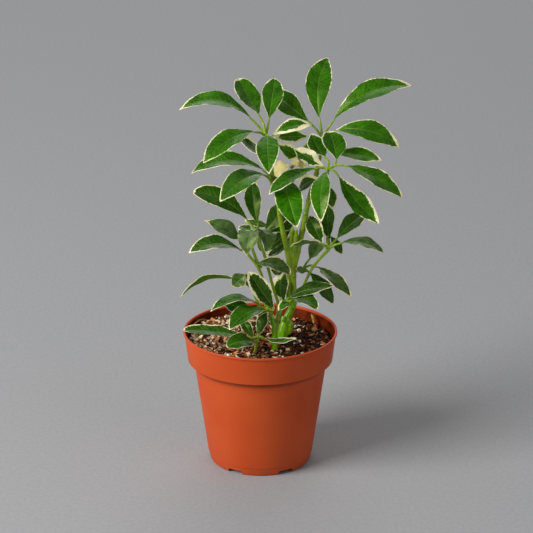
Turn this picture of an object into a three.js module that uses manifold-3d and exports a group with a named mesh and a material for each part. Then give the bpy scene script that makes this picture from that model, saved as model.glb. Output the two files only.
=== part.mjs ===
// A potted umbrella plant: two green stems and a seedling in bark mix, in a terracotta-coloured
// nursery pot. Millimetres, +Z up; the pot stands on z = 0 with its axis on the origin.
import * as THREE from 'three';
import { mergeVertices } from 'three/addons/utils/BufferGeometryUtils.js';
import Module from 'manifold-3d';

const wasm = await Module();
wasm.setup();

// Pot: a 4-inch nursery pot with a deep band under the rim.
const POT_HEIGHT = 96.4;
const RIM_RADIUS = 54;
const BAND_FOOT_RADIUS = 50.8;
const BAND_FOOT_Z = 75.7;
const NECK_RADIUS = 45.8;
const NECK_Z = 68.6;
const FOOT_RADIUS = 35.2;
const STEP_RADIUS = 36.6;
const STEP_Z = 6;
const WALL = 1.5;
const FLOOR_Z = 5;
const FOOT_RING_INNER = 31.5;
const PAD_RADIUS = 12;
const UNDERSIDE_Z = 3;
const POT_SIDES = 48;

// Six drain notches split the foot ring into six feet.
const NOTCHES = 6;
const NOTCH_WIDTH = 11;
const NOTCH_HEIGHT = 3;
const NOTCH_TURN = 30;

// Soil: mounded bark mix with chips and perlite crumbs on it.
const GAP = 0.3;
const SIDE_GAP = 0.5;
const SOIL_Z = 87.5;
const SOIL_MOUND = 3;
const SOIL_RINGS = 4;
const CHIP_COUNT = 14;
const CRUMB_COUNT = 6;

// Blades: thin, waved, slightly folded along the midrib.
const BLADE_THICKNESS = 0.8;
const BLADE_ROWS = [0, 0.15, 0.38, 0.62, 0.85, 1];
const SMALL_BLADE_ROWS = [0, 0.3, 0.7, 1];
const SMALL_BLADE_WIDTH = 12;
const BLADE_COLUMNS = [-1, 0, 1];
const BLADE_WIDEST = 0.55;
const BLADE_FOLD = 0.35;
const BLADE_CURL = 0.2;
const WAVE_HEIGHT = 0.5;
const WAVE_COUNT = 2.5;
const LEAST_HALF_WIDTH = 0.4;
const STALK_RADIUS = 0.8;
const STALK_ENTRY = 1.2;
const STALK_START = 0.6;
const HUB_OVERRUN = 1.2;

const PAINTS = {
  pot: { color: 0xb9532f, roughness: 0.55, metalness: 0 },
  soil: { color: 0x4a3024, roughness: 0.95, metalness: 0 },
  stem: { color: 0x5f9a1e, roughness: 0.4, metalness: 0 },
  leaf: { color: 0x34761f, roughness: 0.4, metalness: 0 },
};

// Stems: a path of points with radii spread evenly along it.
const LEFT_STEM = {
  points: [[9, -18, 72], [9.6, -18, 86], [10.3, -17, 95.5], [9.6, -15, 106], [7.1, -13, 114], [4, -12, 121]],
  radii: [2.4, 2.9, 3, 2.7, 2.4, 2], steps: 9, sides: 8,
};
const RIGHT_STEM = [
  { points: [[13, 9, 70], [14.6, 9, 86], [17, 8, 97], [20, 7, 105], [22, 6, 113], [23, 5, 124], [23, 4, 140],
    [21, 3, 155]],
  radii: [3.4, 3.6, 4.3, 3.8, 3.3, 3, 3, 2.7], steps: 12, sides: 8 },
  { points: [[21.5, 3, 150], [20, 3, 157], [16.5, 2, 168], [13.7, 2, 181], [11.6, 2, 195], [8.8, 2, 203]],
    radii: [2.4, 2, 1.7, 1.7], steps: 8, sides: 7 },
  { points: [[22.8, 4, 137], [25, 6.5, 149], [29.7, 10, 167], [33.8, 14, 188], [38.5, 17, 204], [40, 17, 212]],
    radii: [2.3, 2, 1.8, 1.6], steps: 8, sides: 7 },
  { points: [[21, 4, 152], [23.4, 4.5, 160], [22, 6, 168]], radii: [2, 1.8, 1.6], steps: 3, sides: 7 },
];

// A leaflet: where its blade begins and ends, its full width, how far its midrib arches up, the way its
// upper side faces, a sideways sway, and how blunt its tip is (1 tapers, 0.4 is round).
function leaflet(base, tip, width, arch, face, { sway = 0, point = 0.8, widest = BLADE_WIDEST, from } = {}) {
  return { base, tip, width, arch, face, sway, point, widest, from };
}

// Fronds: a petiole from the stem to the hub, more stalks where there are any, and the leaflets round the hub.
const FRONDS = {
  frond_top_left: {
    petiole: [[9, 3, 204], [7, 3, 215], [5, 2, 226], [4, 0, 238]],
    leaflets: [
      leaflet([-6, 3, 250], [-55, 6, 255], 17, 11, [0.1, -0.3, 0.9], { sway: 1 }),
      leaflet([0, 8, 250], [-15, 34, 269], 18, -2, [0.3, -0.4, 0.8], { sway: 1, point: 0.35, widest: 0.62 }),
      leaflet([6, 8, 247], [10, 38, 268], 15, 0, [0.1, -0.6, 0.8], { point: 0.55, widest: 0.6 }),
      leaflet([5, -4, 240], [6, -36, 223], 16, 3, [-0.1, -0.5, 0.9], { widest: 0.45 }),
      leaflet([-3, -5, 243], [-38, -28, 228], 17, 7, [-0.1, -0.5, 0.9]),
    ],
  },
  frond_middle_left: {
    petiole: [[9, 1, 202], [8, -1.5, 204.5]],
    leaflets: [
      leaflet([3, 2, 213], [-47, 2, 211], 17, 9, [0, -0.3, 0.9], { sway: 1 }),
      leaflet([3, -4, 212], [-27, -32, 202], 18, 8, [0.1, -0.4, 0.9]),
      leaflet([17, -2, 210], [25, -36, 185], 19, 6, [0.3, -0.5, 0.8], { sway: 2 }),
    ],
  },
  frond_new_growth: {
    petiole: [[11, 4.5, 203.5], [8, 9, 218], [5.4, 8, 231]],
    leaflets: [
      leaflet([8, 8, 236], [35, 14, 242], 12, 5, [0.1, -0.5, 0.9], { sway: 1 }),
      leaflet([8, 8, 234], [33, 18, 232], 10, -2, [0.2, -0.5, 0.8], { sway: -2 }),
      leaflet([12, 8, 231], [28, 10, 219], 9, -1, [0.6, -0.3, 0.8]),
      leaflet([9, 10, 215], [23, 16, 203], 11, 1, [0.7, -0.3, 0.6], { sway: 1, from: [8, 9, 217] }),
      leaflet([5, 12, 219], [-15, 34, 231], 16, -4, [0.4, -0.1, 0.9], { sway: 2, from: [8, 9, 216] }),
    ],
  },
  frond_top_right: {
    petiole: [[40, 17, 211], [42, 17.5, 221], [43, 18, 229]],
    leaflets: [
      leaflet([34, 24, 241], [9, 50, 256], 17, 5, [-0.1, -0.6, 0.8], { sway: -3 }),
      leaflet([41, 24, 243], [47, 56, 278], 18, 4, [0.2, -0.7, 0.6], { sway: -4 }),
      leaflet([50, 18, 244], [104, 28, 266], 18, 10, [-0.3, -0.5, 0.8], { sway: -1 }),
      leaflet([51, 14, 238], [95, 4, 229], 17, 8, [0, -0.6, 0.8], { sway: -1 }),
      leaflet([51, 12, 222], [83, 4, 220], 14, 1, [0, -0.2, 1]),
      leaflet([31, 22, 224], [26, 18, 209], 13, -2, [-0.6, -0.7, 0.4], { sway: 1 }),
    ],
  },
  frond_front_right: {
    petiole: [[35, 12, 187], [40, 2, 199], [45, -8, 211], [46, -13, 219]],
    leaflets: [
      leaflet([52, -8, 223], [47, 12, 238], 18, 0, [0.3, -0.5, 0.8], { sway: 1, point: 0.5, widest: 0.6 }),
      leaflet([45, -6, 225], [35, 8, 238], 11, -3, [0.5, -0.3, 0.8]),
      leaflet([58, -14, 222], [96, -26, 203], 17, 2, [0.3, -0.4, 0.9]),
      leaflet([53, -17, 216], [80, -40, 189], 16, -2, [0.2, -0.6, 0.8], { sway: 1 }),
      leaflet([45, -17, 219], [41, -50, 194], 14, 7, [-0.2, -0.6, 0.8]),
      leaflet([38, -14, 220], [6, -26, 205], 15, 3, [-0.3, -0.3, 0.9]),
      leaflet([44, -10, 219], [23, -2, 230], 11, 3, [0.2, -0.6, 0.8], { sway: -1 }),
      leaflet([42, -3, 209], [26, 14, 193], 15, 4, [-0.8, -0.1, 0.6], { sway: -1, from: [44, -6, 209] }),
      leaflet([44, 0, 205], [50, 2, 185], 9, 2, [0.6, -0.8, 0.1], { from: [42, -2, 204] }),
    ],
  },
  frond_centre_left: {
    petiole: [[10, -13, 104], [12, -7, 110], [12.5, -4, 117], [10, -4, 126], [7, -3, 137], [4, -2, 149],
      [-3, 0, 170]],
    stalks: [[[0, -6.5, 145], [-3, -7, 152], [-6, -6, 163], [-4, -1, 170]]],
    leaflets: [
      leaflet([-8, 2, 176], [-46, 6, 196], 16, 4, [0.3, -0.6, 0.7], { sway: 3, point: 0.6 }),
      leaflet([-2, 8, 174], [-5, 30, 197], 12, 4, [0.2, -0.7, 0.7], { sway: -1 }),
      leaflet([3, 6, 168], [17, 16, 186], 14, 2, [-0.4, -0.6, 0.7], { sway: 2 }),
      leaflet([5, 10, 166], [24, 26, 173], 14, 3, [0.1, -0.5, 0.9]),
      leaflet([-3, -6, 171], [-9, -28, 162], 16, 8, [-0.4, -0.3, 0.9], { sway: -1, point: 0.9 }),
      leaflet([-2, -4, 171], [4, -26, 163], 16, 7, [0.5, -0.2, 0.9], { sway: 1, widest: 0.5 }),
      leaflet([-6, 6, 168], [-15, 14, 168], 8, 0, [-0.2, -0.2, 1]),
      leaflet([8, 22, 164], [-9, 30, 170], 10, 2, [-0.1, -0.7, 0.7], { sway: -1 }),
    ],
  },
  frond_left_front: {
    petiole: [[4.5, -12, 119], [1.2, -10, 130], [1.2, -8, 139], [-2.2, -8, 147], [-8.4, -9, 156], [-12, -9, 162]],
    leaflets: [
      leaflet([-13, -8, 166], [-38, -16, 183], 13, 6, [0.6, -0.6, 0.6], { sway: -2, point: 1.2 }),
      leaflet([-13, -10, 159], [-49, -18, 160], 15, 8, [0.1, -0.3, 0.9]),
      leaflet([-3, -8, 148], [21, -14, 146], 13, 3, [0, -0.3, 1], { from: [-2, -8, 147] }),
    ],
  },
  frond_low_left: {
    petiole: [[9, -14, 106], [1.2, -8, 113], [-2.6, -5, 121], [-5.7, -5, 129], [-11, -6, 135]],
    leaflets: [
      leaflet([-13, -6, 135], [-55, -14, 126], 12, 6, [-0.2, 0.1, 1]),
      leaflet([-11, -8, 137], [-19, -16, 139], 11, -1, [0.6, -0.6, 0.5], { point: 0.5 }),
    ],
  },
  frond_low_front: {
    petiole: [[9, -16, 108], [6.5, -16, 115], [5, -16, 118.5]],
    leaflets: [
      leaflet([1, -16, 120], [-34, -28, 121], 15, 7, [0, 0, 1]),
      leaflet([4, -19, 118], [-21, -42, 113], 17, 6, [0, -0.2, 1]),
      leaflet([-6, -10, 117], [-26, -16, 123], 13, 0, [0.4, -0.7, 0.5], { sway: -1 }),
      leaflet([10, -18, 119], [-8, -14, 145], 13, 1, [0.7, -0.5, 0.5], { sway: -1, point: 0.7 }),
    ],
  },
  frond_low_centre: {
    petiole: [[11, -15, 102], [12.4, -13, 108], [14.7, -10, 115], [17, -9, 121]],
    leaflets: [
      leaflet([19, -8, 123], [50, -18, 136], 15, 5, [-0.4, -0.2, 0.9], { sway: 2 }),
      leaflet([21, -12, 123], [39, -34, 125], 14, 4, [-0.1, 0, 1], { point: 0.6 }),
      leaflet([21, -14, 122], [13, -22, 118], 8, 1, [-0.1, -0.4, 0.9], { sway: -1 }),
      leaflet([17, -2, 117], [17, 12, 134], 12, 5, [0.3, -0.7, 0.6], { sway: -3, point: 0.7 }),
    ],
  },
  frond_centre_right: {
    petiole: [[23, 6, 112], [29, 4, 125], [36.7, 2, 142.6], [47, 0, 156]],
    leaflets: [
      leaflet([44, 4, 160], [34, 16, 175], 10, 5, [-0.2, -0.8, 0.5]),
      leaflet([48, 8, 160], [48, 30, 180], 11, 0, [-0.4, -0.6, 0.7], { sway: -1 }),
      leaflet([53, 6, 162], [74, 22, 176], 13, 1, [-0.4, -0.2, 0.9]),
      leaflet([56, -2, 162], [85, -8, 157], 12, 2, [0.1, -0.1, 1]),
      leaflet([42, -4, 162], [21, -10, 161], 10, 1, [-0.2, 0.7, 0.7], { sway: -1 }),
      leaflet([49, 12, 162], [57, 8, 150], 8, 1, [0.5, -0.6, 0.6], { sway: 1 }),
    ],
  },
  frond_low_right: {
    petiole: [[25, 6, 138], [30, 8, 139]],
    leaflets: [
      leaflet([39, 7, 141.5], [62, -10, 126], 12, 1, [0.4, -0.4, 0.8], { sway: 1 }),
      leaflet([34, 10, 136], [51, 6, 114], 13, 1, [0.6, -0.6, 0.6]),
      leaflet([34, 8, 146], [42, 18, 157], 12, 0, [-0.4, -0.5, 0.7], { sway: 1 }),
      leaflet([32, 5, 138], [25, 0, 142], 5, 0, [0.5, -0.4, 0.7]),
    ],
  },
  frond_inner: {
    petiole: [[22, 6, 165], [21.5, 11, 164]],
    leaflets: [
      leaflet([21, 12, 162], [4, 4, 149], 13, -3, [-0.5, -0.3, 0.8]),
    ],
  },
  seedling: {
    petiole: [[-4.5, -25, 74], [-4.3, -25, 86], [-3, -25, 93], [-2.2, -24.5, 98], [-1, -24, 101]],
    leaflets: [
      leaflet([-8, -26, 101], [-53, -22, 105], 12, 1, [0.1, 0, 1], { sway: 1 }),
      leaflet([-4, -27, 98], [-23, -40, 100], 14, 4, [0.3, -0.3, 0.9], { sway: -1, point: 0.45 }),
      leaflet([-4, -22, 100], [-12, -14, 109], 6, 4, [0, -0.8, 0.6], { sway: -1 }),
      leaflet([-1, -25, 103], [5, -21, 117], 10, 1, [-0.5, -0.5, 0.7]),
      leaflet([2, -26, 101], [25, -32, 103], 9, -3, [-0.1, 0.1, 1]),
    ],
  },
};

const point = ([x, y, z]) => new THREE.Vector3(x, y, z);

// A closed solid from a geometry, by its corners alone.
function solid(geometry) {
  const bare = new THREE.BufferGeometry();
  bare.setAttribute('position', geometry.getAttribute('position').clone());
  if (geometry.index) bare.setIndex(geometry.index.clone());
  const welded = mergeVertices(bare, 1e-4);
  return new wasm.Manifold(new wasm.Mesh({
    numProp: 3,
    vertProperties: new Float32Array(welded.getAttribute('position').array),
    triVerts: new Uint32Array(dropFlat(welded.index.array)),
  }));
}

// Triangles whose corners were welded together hold no area.
function dropFlat(index) {
  const kept = [];
  for (let i = 0; i < index.length; i += 3) {
    const [a, b, c] = [index[i], index[i + 1], index[i + 2]];
    if (a !== b && b !== c && c !== a) kept.push(a, b, c);
  }
  return kept;
}

function lathe(profile, sides) {
  const turned = new THREE.LatheGeometry(profile.map(([r, z]) => new THREE.Vector2(r, z)), sides);
  return turned.rotateX(Math.PI / 2);
}

function valueAlong(values, share) {
  const place = share * (values.length - 1);
  const i = Math.min(Math.floor(place), values.length - 2);
  return THREE.MathUtils.lerp(values[i], values[i + 1], place - i);
}

// A round limb along a path: a unit tube whose rings are then drawn in or out to their radii.
function limb({ points, radii, steps, sides }, extra = 0) {
  const path = new THREE.CatmullRomCurve3(points.map(point));
  const ring = [];
  for (let i = 0; i < sides; i += 1) {
    const turn = (2 * Math.PI * i) / sides;
    ring.push(new THREE.Vector2(Math.cos(turn), Math.sin(turn)));
  }
  const tube = new THREE.ExtrudeGeometry(new THREE.Shape(ring), { steps, extrudePath: path, bevelEnabled: false });
  const centres = path.getSpacedPoints(steps);
  const corners = tube.getAttribute('position');
  const corner = new THREE.Vector3();
  for (let i = 0; i < corners.count; i += 1) {
    corner.fromBufferAttribute(corners, i);
    const near = nearest(centres, corner);
    const radius = valueAlong(radii, near / steps) + extra;
    corner.sub(centres[near]).multiplyScalar(radius).add(centres[near]);
    corners.setXYZ(i, corner.x, corner.y, corner.z);
  }
  return solid(tube);
}

// Ring corners lie one unit from their own centre.
function nearest(centres, corner) {
  let best = 0;
  centres.forEach((centre, i) => {
    const off = Math.abs(centre.distanceTo(corner) - 1);
    if (off < Math.abs(centres[best].distanceTo(corner) - 1)) best = i;
  });
  return best;
}

function fuse(solids) {
  return solids.reduce((whole, piece) => whole.add(piece));
}

// The midrib, its direction and the two cross directions of a blade at a share of its length.
function bladeFrame(leaf) {
  const base = point(leaf.base);
  const along = point(leaf.tip).sub(base);
  const axis = along.clone().normalize();
  const up = point(leaf.face);
  up.addScaledVector(axis, -up.dot(axis)).normalize();
  const side = axis.clone().cross(up);
  return (share) => {
    const rise = 4 * share * (1 - share);
    const turn = 4 * (1 - 2 * share);
    const middle = base.clone().addScaledVector(along, share)
      .addScaledVector(up, leaf.arch * rise).addScaledVector(side, leaf.sway * rise);
    const tangent = along.clone().addScaledVector(up, leaf.arch * turn)
      .addScaledVector(side, leaf.sway * turn).normalize();
    const normal = side.clone().cross(tangent).normalize();
    return { middle, tangent, normal, across: tangent.clone().cross(normal) };
  };
}

function halfWidth(leaf, share) {
  const power = Math.log(0.5) / Math.log(leaf.widest);
  const blunt = 1 + (leaf.point - 1) * share;
  const swell = Math.max(Math.sin(Math.PI * share ** power), 0) ** blunt;
  return Math.max((leaf.width / 2) * swell, LEAST_HALF_WIDTH);
}

// A thin closed sheet: both faces are split into triangles alike, with a rim between them.
function blade(leaf) {
  const frameAt = bladeFrame(leaf);
  const rows = leaf.width < SMALL_BLADE_WIDTH ? SMALL_BLADE_ROWS : BLADE_ROWS;
  const across = BLADE_COLUMNS.length;
  const faceSize = rows.length * across;
  const corners = [];
  for (const lift of [0.5, -0.5]) {
    for (const share of rows) {
      const { middle, normal, across: sideways } = frameAt(share);
      const half = halfWidth(leaf, share);
      for (const column of BLADE_COLUMNS) {
        const wave = WAVE_HEIGHT * column * column * Math.sin(2 * Math.PI * WAVE_COUNT * share + column)
          * Math.min(1, half / 3);
        const height = half * (BLADE_FOLD * Math.abs(column) - BLADE_CURL * column * column) + wave;
        const corner = middle.clone().addScaledVector(sideways, half * column)
          .addScaledVector(normal, height + lift * BLADE_THICKNESS);
        corners.push(corner.x, corner.y, corner.z);
      }
    }
  }
  const index = [];
  for (let row = 0; row < rows.length - 1; row += 1) {
    for (let column = 0; column < across - 1; column += 1) {
      const a = row * across + column;
      const [b, c, d] = [a + 1, a + across + 1, a + across];
      index.push(a, b, c, a, c, d);
      index.push(faceSize + a, faceSize + c, faceSize + b, faceSize + a, faceSize + d, faceSize + c);
    }
  }
  const rim = rimCorners(rows.length, across);
  rim.forEach((a, i) => {
    const b = rim[(i + 1) % rim.length];
    index.push(b, a, faceSize + a, b, faceSize + a, faceSize + b);
  });
  const sheet = new THREE.BufferGeometry();
  sheet.setAttribute('position', new THREE.Float32BufferAttribute(corners, 3));
  sheet.setIndex(index);
  return solid(sheet);
}

// The border of a grid, in order round it.
function rimCorners(rows, across) {
  const rim = [];
  for (let column = 0; column < across; column += 1) rim.push(column);
  for (let row = 1; row < rows; row += 1) rim.push(row * across + across - 1);
  for (let column = across - 2; column >= 0; column -= 1) rim.push((rows - 1) * across + column);
  for (let row = rows - 2; row > 0; row -= 1) rim.push(row * across);
  return rim;
}

// A stalk leaves the hub, bends round to the blade's own direction and ends just inside its base.
function stalk(leaf, hub) {
  const start = point(leaf.from ?? hub);
  const { middle: base, tangent } = bladeFrame(leaf)(0);
  const reach = base.distanceTo(start) / 2;
  const bend = base.clone().addScaledVector(tangent, -reach);
  start.lerp(bend, STALK_START / start.distanceTo(bend));
  const middle = start.clone().lerp(bend, 0.6).lerp(base, 0.25);
  const end = base.clone().addScaledVector(tangent, STALK_ENTRY);
  return limb({
    points: [start, middle, end].map((p) => p.toArray()), radii: [STALK_RADIUS, STALK_RADIUS], steps: 3, sides: 4,
  });
}

// Petioles run a little past the hub, so that the stalks start inside them.
function petioles(frond, extra = 0) {
  return [frond.petiole, ...(frond.stalks ?? [])].map((path) => {
    const [before, last] = path.slice(-2).map(point);
    const end = last.clone().addScaledVector(last.clone().sub(before).normalize(), HUB_OVERRUN);
    const points = [...path.slice(0, -1), end.toArray()];
    return limb({ points, radii: [1.5, 1.2, 1.4], steps: points.length, sides: 6 }, extra);
  });
}

function frondSolid(frond) {
  const hub = frond.petiole.at(-1);
  const pieces = petioles(frond);
  for (const leaf of frond.leaflets) pieces.push(stalk(leaf, hub), blade(leaf));
  return fuse(pieces);
}

// The inner wall from the lip down to the floor.
const INNER_WALL = [
  [RIM_RADIUS - WALL - 0.2, POT_HEIGHT - 0.6], [BAND_FOOT_RADIUS - WALL + 0.2, BAND_FOOT_Z + 1],
  [NECK_RADIUS - WALL, NECK_Z + 0.9], [STEP_RADIUS - WALL - 0.8, FLOOR_Z],
];

function potSolid() {
  const outside = [
    [0, 0], [PAD_RADIUS, 0], [PAD_RADIUS + 1, UNDERSIDE_Z], [FOOT_RING_INNER, UNDERSIDE_Z],
    [FOOT_RING_INNER + 0.6, 0], [FOOT_RADIUS - 0.8, 0], [FOOT_RADIUS, 0.9], [STEP_RADIUS, STEP_Z],
    [NECK_RADIUS, NECK_Z], [BAND_FOOT_RADIUS, BAND_FOOT_Z],
    [RIM_RADIUS, POT_HEIGHT - 1.2], [RIM_RADIUS - 0.6, POT_HEIGHT],
  ];
  let pot = solid(lathe([...outside, ...INNER_WALL, [0, FLOOR_Z]], POT_SIDES));
  for (let i = 0; i < NOTCHES; i += 1) {
    const notch = new THREE.BoxGeometry(NOTCH_WIDTH, 14, 2 * NOTCH_HEIGHT);
    notch.translate(0, -FOOT_RADIUS, 0);
    notch.rotateZ(THREE.MathUtils.degToRad(NOTCH_TURN + (360 / NOTCHES) * i));
    pot = pot.subtract(solid(notch));
  }
  return pot;
}

// Height of the soil: mounded towards the back left, with a shallow roughness.
function soilHeight(x, y) {
  const mound = SOIL_MOUND * Math.exp(-((x + 26) ** 2 + (y - 14) ** 2) / 900);
  const rough = 0.7 * Math.sin(0.41 * x + 1.3) * Math.cos(0.37 * y) + 0.4 * Math.sin(0.9 * x - 0.7 * y);
  return SOIL_Z + mound + rough;
}

function random(seed) {
  let state = seed;
  return () => {
    state = (state * 16807) % 2147483647;
    return state / 2147483647;
  };
}

// Loose lumps sunk well into the surface, clear of the wall and of the stems.
function lumps(count, seed, shape) {
  const draw = random(seed);
  const feet = [LEFT_STEM.points[1], RIGHT_STEM[0].points[1], FRONDS.seedling.petiole[1]];
  const placed = [];
  while (placed.length < count) {
    const reach = 44 * Math.sqrt(draw());
    const turn = 2 * Math.PI * draw();
    const [x, y] = [reach * Math.cos(turn), reach * Math.sin(turn)];
    if (feet.every(([fx, fy]) => Math.hypot(x - fx, y - fy) > 9)) placed.push(shape(draw, x, y));
  }
  return placed;
}

function chip(draw, x, y) {
  const piece = new THREE.BoxGeometry(4 + 5 * draw(), 2 + 2 * draw(), 2.4);
  piece.rotateX(0.5 * (draw() - 0.5)).rotateY(0.5 * (draw() - 0.5)).rotateZ(Math.PI * draw());
  return solid(piece.translate(x, y, soilHeight(x, y) - 0.1));
}

function crumb(draw, x, y) {
  const piece = new THREE.OctahedronGeometry(1.6 + 0.6 * draw());
  piece.rotateX(draw()).rotateY(draw());
  return solid(piece.translate(x, y, soilHeight(x, y) + 0.2));
}

function soilSolid() {
  const [lip, band, neck, floor] = INNER_WALL;
  const share = (SOIL_Z - band[1]) / (lip[1] - band[1]);
  const edge = THREE.MathUtils.lerp(band[0], lip[0], share) - SIDE_GAP;
  const top = [];
  for (let i = 0; i <= SOIL_RINGS; i += 1) top.push([edge * (1 - i / SOIL_RINGS), SOIL_Z]);
  const wall = [floor, neck, band].map(([r, z]) => [r - SIDE_GAP, z]);
  wall[0][1] += GAP;
  const profile = [[0, FLOOR_Z + GAP], ...wall, ...top];
  const body = lathe(profile, POT_SIDES);
  const corners = body.getAttribute('position');
  for (let i = 0; i < corners.count; i += 1) {
    if (corners.getZ(i) > SOIL_Z - 0.1) corners.setZ(i, soilHeight(corners.getX(i), corners.getY(i)));
  }
  return fuse([solid(body), ...lumps(CHIP_COUNT, 11, chip), ...lumps(CRUMB_COUNT, 5, crumb)]);
}

function toMesh(body, name, paint) {
  const { vertProperties, triVerts } = body.getMesh();
  const geometry = new THREE.BufferGeometry();
  geometry.setAttribute('position', new THREE.Float32BufferAttribute(vertProperties, 3));
  geometry.setIndex([...triVerts]);
  const mesh = new THREE.Mesh(geometry, new THREE.MeshStandardMaterial(PAINTS[paint]));
  mesh.material.name = paint;
  mesh.name = name;
  return mesh;
}

const group = new THREE.Group();
group.name = 'potted_umbrella_plant';

const stemRoom = fuse([LEFT_STEM, ...RIGHT_STEM].map((stem) => limb(stem, GAP)));
const rootRoom = fuse([stemRoom, ...petioles(FRONDS.seedling, GAP)]);

group.add(toMesh(potSolid(), 'pot', 'pot'));
group.add(toMesh(soilSolid().subtract(rootRoom), 'soil', 'soil'));
group.add(toMesh(limb(LEFT_STEM), 'stem_left', 'stem'));
group.add(toMesh(fuse(RIGHT_STEM.map((stem) => limb(stem))), 'stem_right', 'stem'));

// Each frond keeps clear of the stems and of the petioles made before it.
let room = stemRoom;
for (const [name, frond] of Object.entries(FRONDS)) {
  group.add(toMesh(frondSolid(frond).subtract(room), name, 'leaf'));
  room = fuse([room, ...petioles(frond, GAP)]);
}

export default group;
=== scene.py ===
import math
import random
from dataclasses import dataclass
from functools import partial

import bpy
import numpy as np
from mathutils import Euler, Matrix, Vector, noise


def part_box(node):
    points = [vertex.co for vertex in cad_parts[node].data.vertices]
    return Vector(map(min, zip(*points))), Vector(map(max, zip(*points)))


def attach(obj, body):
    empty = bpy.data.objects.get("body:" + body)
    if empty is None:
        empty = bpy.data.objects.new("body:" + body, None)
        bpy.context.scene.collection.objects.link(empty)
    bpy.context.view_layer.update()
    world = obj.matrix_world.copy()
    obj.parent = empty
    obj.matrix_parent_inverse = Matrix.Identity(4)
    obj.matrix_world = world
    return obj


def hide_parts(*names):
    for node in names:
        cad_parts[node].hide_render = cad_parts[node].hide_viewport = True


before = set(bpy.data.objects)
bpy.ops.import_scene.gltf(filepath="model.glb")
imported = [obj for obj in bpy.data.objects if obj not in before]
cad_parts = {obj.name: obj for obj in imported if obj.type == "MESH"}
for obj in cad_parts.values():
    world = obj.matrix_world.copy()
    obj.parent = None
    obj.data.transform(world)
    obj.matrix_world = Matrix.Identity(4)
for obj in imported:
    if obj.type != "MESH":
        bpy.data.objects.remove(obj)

bl_info = {
    "name": "Potted Umbrella Plant",
    "version": (1, 0, 0),
    "blender": (4, 5, 0),
    "location": "3D View > Sidebar > Plant",
    "description": "Models a variegated umbrella plant in a nursery pot around its packed frame",
    "category": "Object",
}

MM = 0.001

# Pot, in millimetres.
BAND_TAPER = 3.2
BAND_DEPTH = 20.7
NECK_STEP = 5.0
NECK_DROP = 7.1
FOOT_RADIUS = 35.2
STEP_RADIUS = 36.6
STEP_HEIGHT = 6
FLOOR_HEIGHT = 5
FOOT_RING_INNER = 31.5
PAD_RADIUS = 12
UNDERSIDE_HEIGHT = 3
POT_SIDES = 160
FILLET_STEPS = 4
NOTCHES = 6
NOTCH_WIDTH = 11
NOTCH_DEPTH = 14
NOTCH_CORNER = 1.2
NOTCH_TURN = 30
LIP_EDGE = 0.9
LIP_FOOT = 1.7
LIP_BEAD = 1.3
LIP_ROUND = 0.6
LIP_DEPTH = 1.6
WALL_DRAFT = 0.2
COVE_TOP = 0.5
INNER_STEP = 4
FLOOR_INSET = 0.8

# The crease between neck and band: how far each corner is out from the neck and above the band's
# foot, and its fillet.
CREASE = ((0, -NECK_DROP, 0.6), (0.5, -4.8, 0.8), (0.9, -2.6, 0.8), (1, COVE_TOP, 0.1))

# Potting mix, in millimetres.
SOIL_HEIGHT = 87.5
SOIL_MOUND = 3
MOUND_PLACE = (-26, 14)
MOUND_SPREAD = 30
SOIL_SIDES = 128
SOIL_RINGS = 40
SOIL_FLOOR = 6
SIDE_GAP = 0.5

# Lumps of the mix's surface: their height and size.
LUMPS = ((1.3, 3.1), (0.6, 1.3))

# Chips, flakes and crumbs on the mix: how many shapes each has, and how far its corners stray.
SHAPES = {"bark": (8, 0.07), "perlite": (4, 0.2), "flake": (8, 0.3)}
MIX_SEED = 4
CHIP_SIZES = (2.2, 6.6)
FLAKE_SIZES = (0.9, 3.6)
CHIP_WIDTHS = (0.2, 0.6)
CHIP_THICKNESSES = (0.15, 0.34)
CHIP_LIFTS = (-0.5, 1.7)
CHIP_TILT = 0.65
CHIP_REACH = 50
MOST_CHIPS_SMALL = 2.2
CRUMB_SIZES = (0.9, 3.5)
CRUMB_SQUASH = (0.5, 1.15)
CRUMB_LIFTS = (0.4, 1.6)
CRUMB_TILT = 3
CRUMB_REACH = 49.5
MOST_CRUMBS_SMALL = 1.8

# A chip's tone, from 0, black, to 1, cream: its middle, the millimetres to the right over which it
# falls by 1, as painted shade away from the key light on the left, and to the back over which it
# rises by 1, and its spread.
TONE = 0.44
SHADE_FALL_RIGHT = 140
TONE_RISE = 700
TONE_SPREAD = 0.37

# Dry leaf strips: the points each is bent along, and its width.
DRY_STRIPS = (
    ([[-46.9, 15, 94.5], [-42.6, 19.6, 95.6], [-37.8, 22, 94.8]], 1.6),
    ([[36.1, 32, 95.2], [37.4, 29, 93.5], [38.2, 26, 90]], 1.8),
)
STRIP_THICKNESS = 0.25
STRIP_ACROSS = (0.5, -0.3, 0.85)
STRIP_CURL = 0.4
STRIP_TIP = 0.1

# Stems: how far they swell and narrow at a leaf scar, and over what length, in millimetres.
SWELLING = 0.13
SWELLING_REACH = 1.3
NARROWING = 0.05
NARROWING_REACH = 0.5
NARROWING_PLACE = 1.6
SCAR_REACH = 0.55
STEM_END = 2

# Where the first scar lies, and how far apart two scars lie, as shares of the usual spacing.
FIRST_SCAR = (0.3, 0.8)
NEXT_SCAR = (0.7, 1.3)

# Blades, in millimetres and shares. A wave or a ripple is full where half the blade is FULL_WAVE wide.
BLADE_ROWS = 36
BLADE_COLUMNS = 14
COLUMN_SPREAD = 1.2
BLADE_FOLD = 0.32
BLADE_CURL = 0.1
WAVE_HEIGHT = 0.35
WAVE_COUNT = 2.5
RIPPLE_HEIGHT = 0.16
RIPPLE_LENGTH = 9
FULL_WAVE = 3
LEAST_HALF_WIDTH = 0.25

# Cream, in millimetres: what the margin's own blur takes off its width, and how far the extra cream at
# the tip and at the base reaches.
CREAM_LOSS = 0.08
CREAM_END_REACH = 3.5
CREAM_FOOT_REACH = 4

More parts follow.
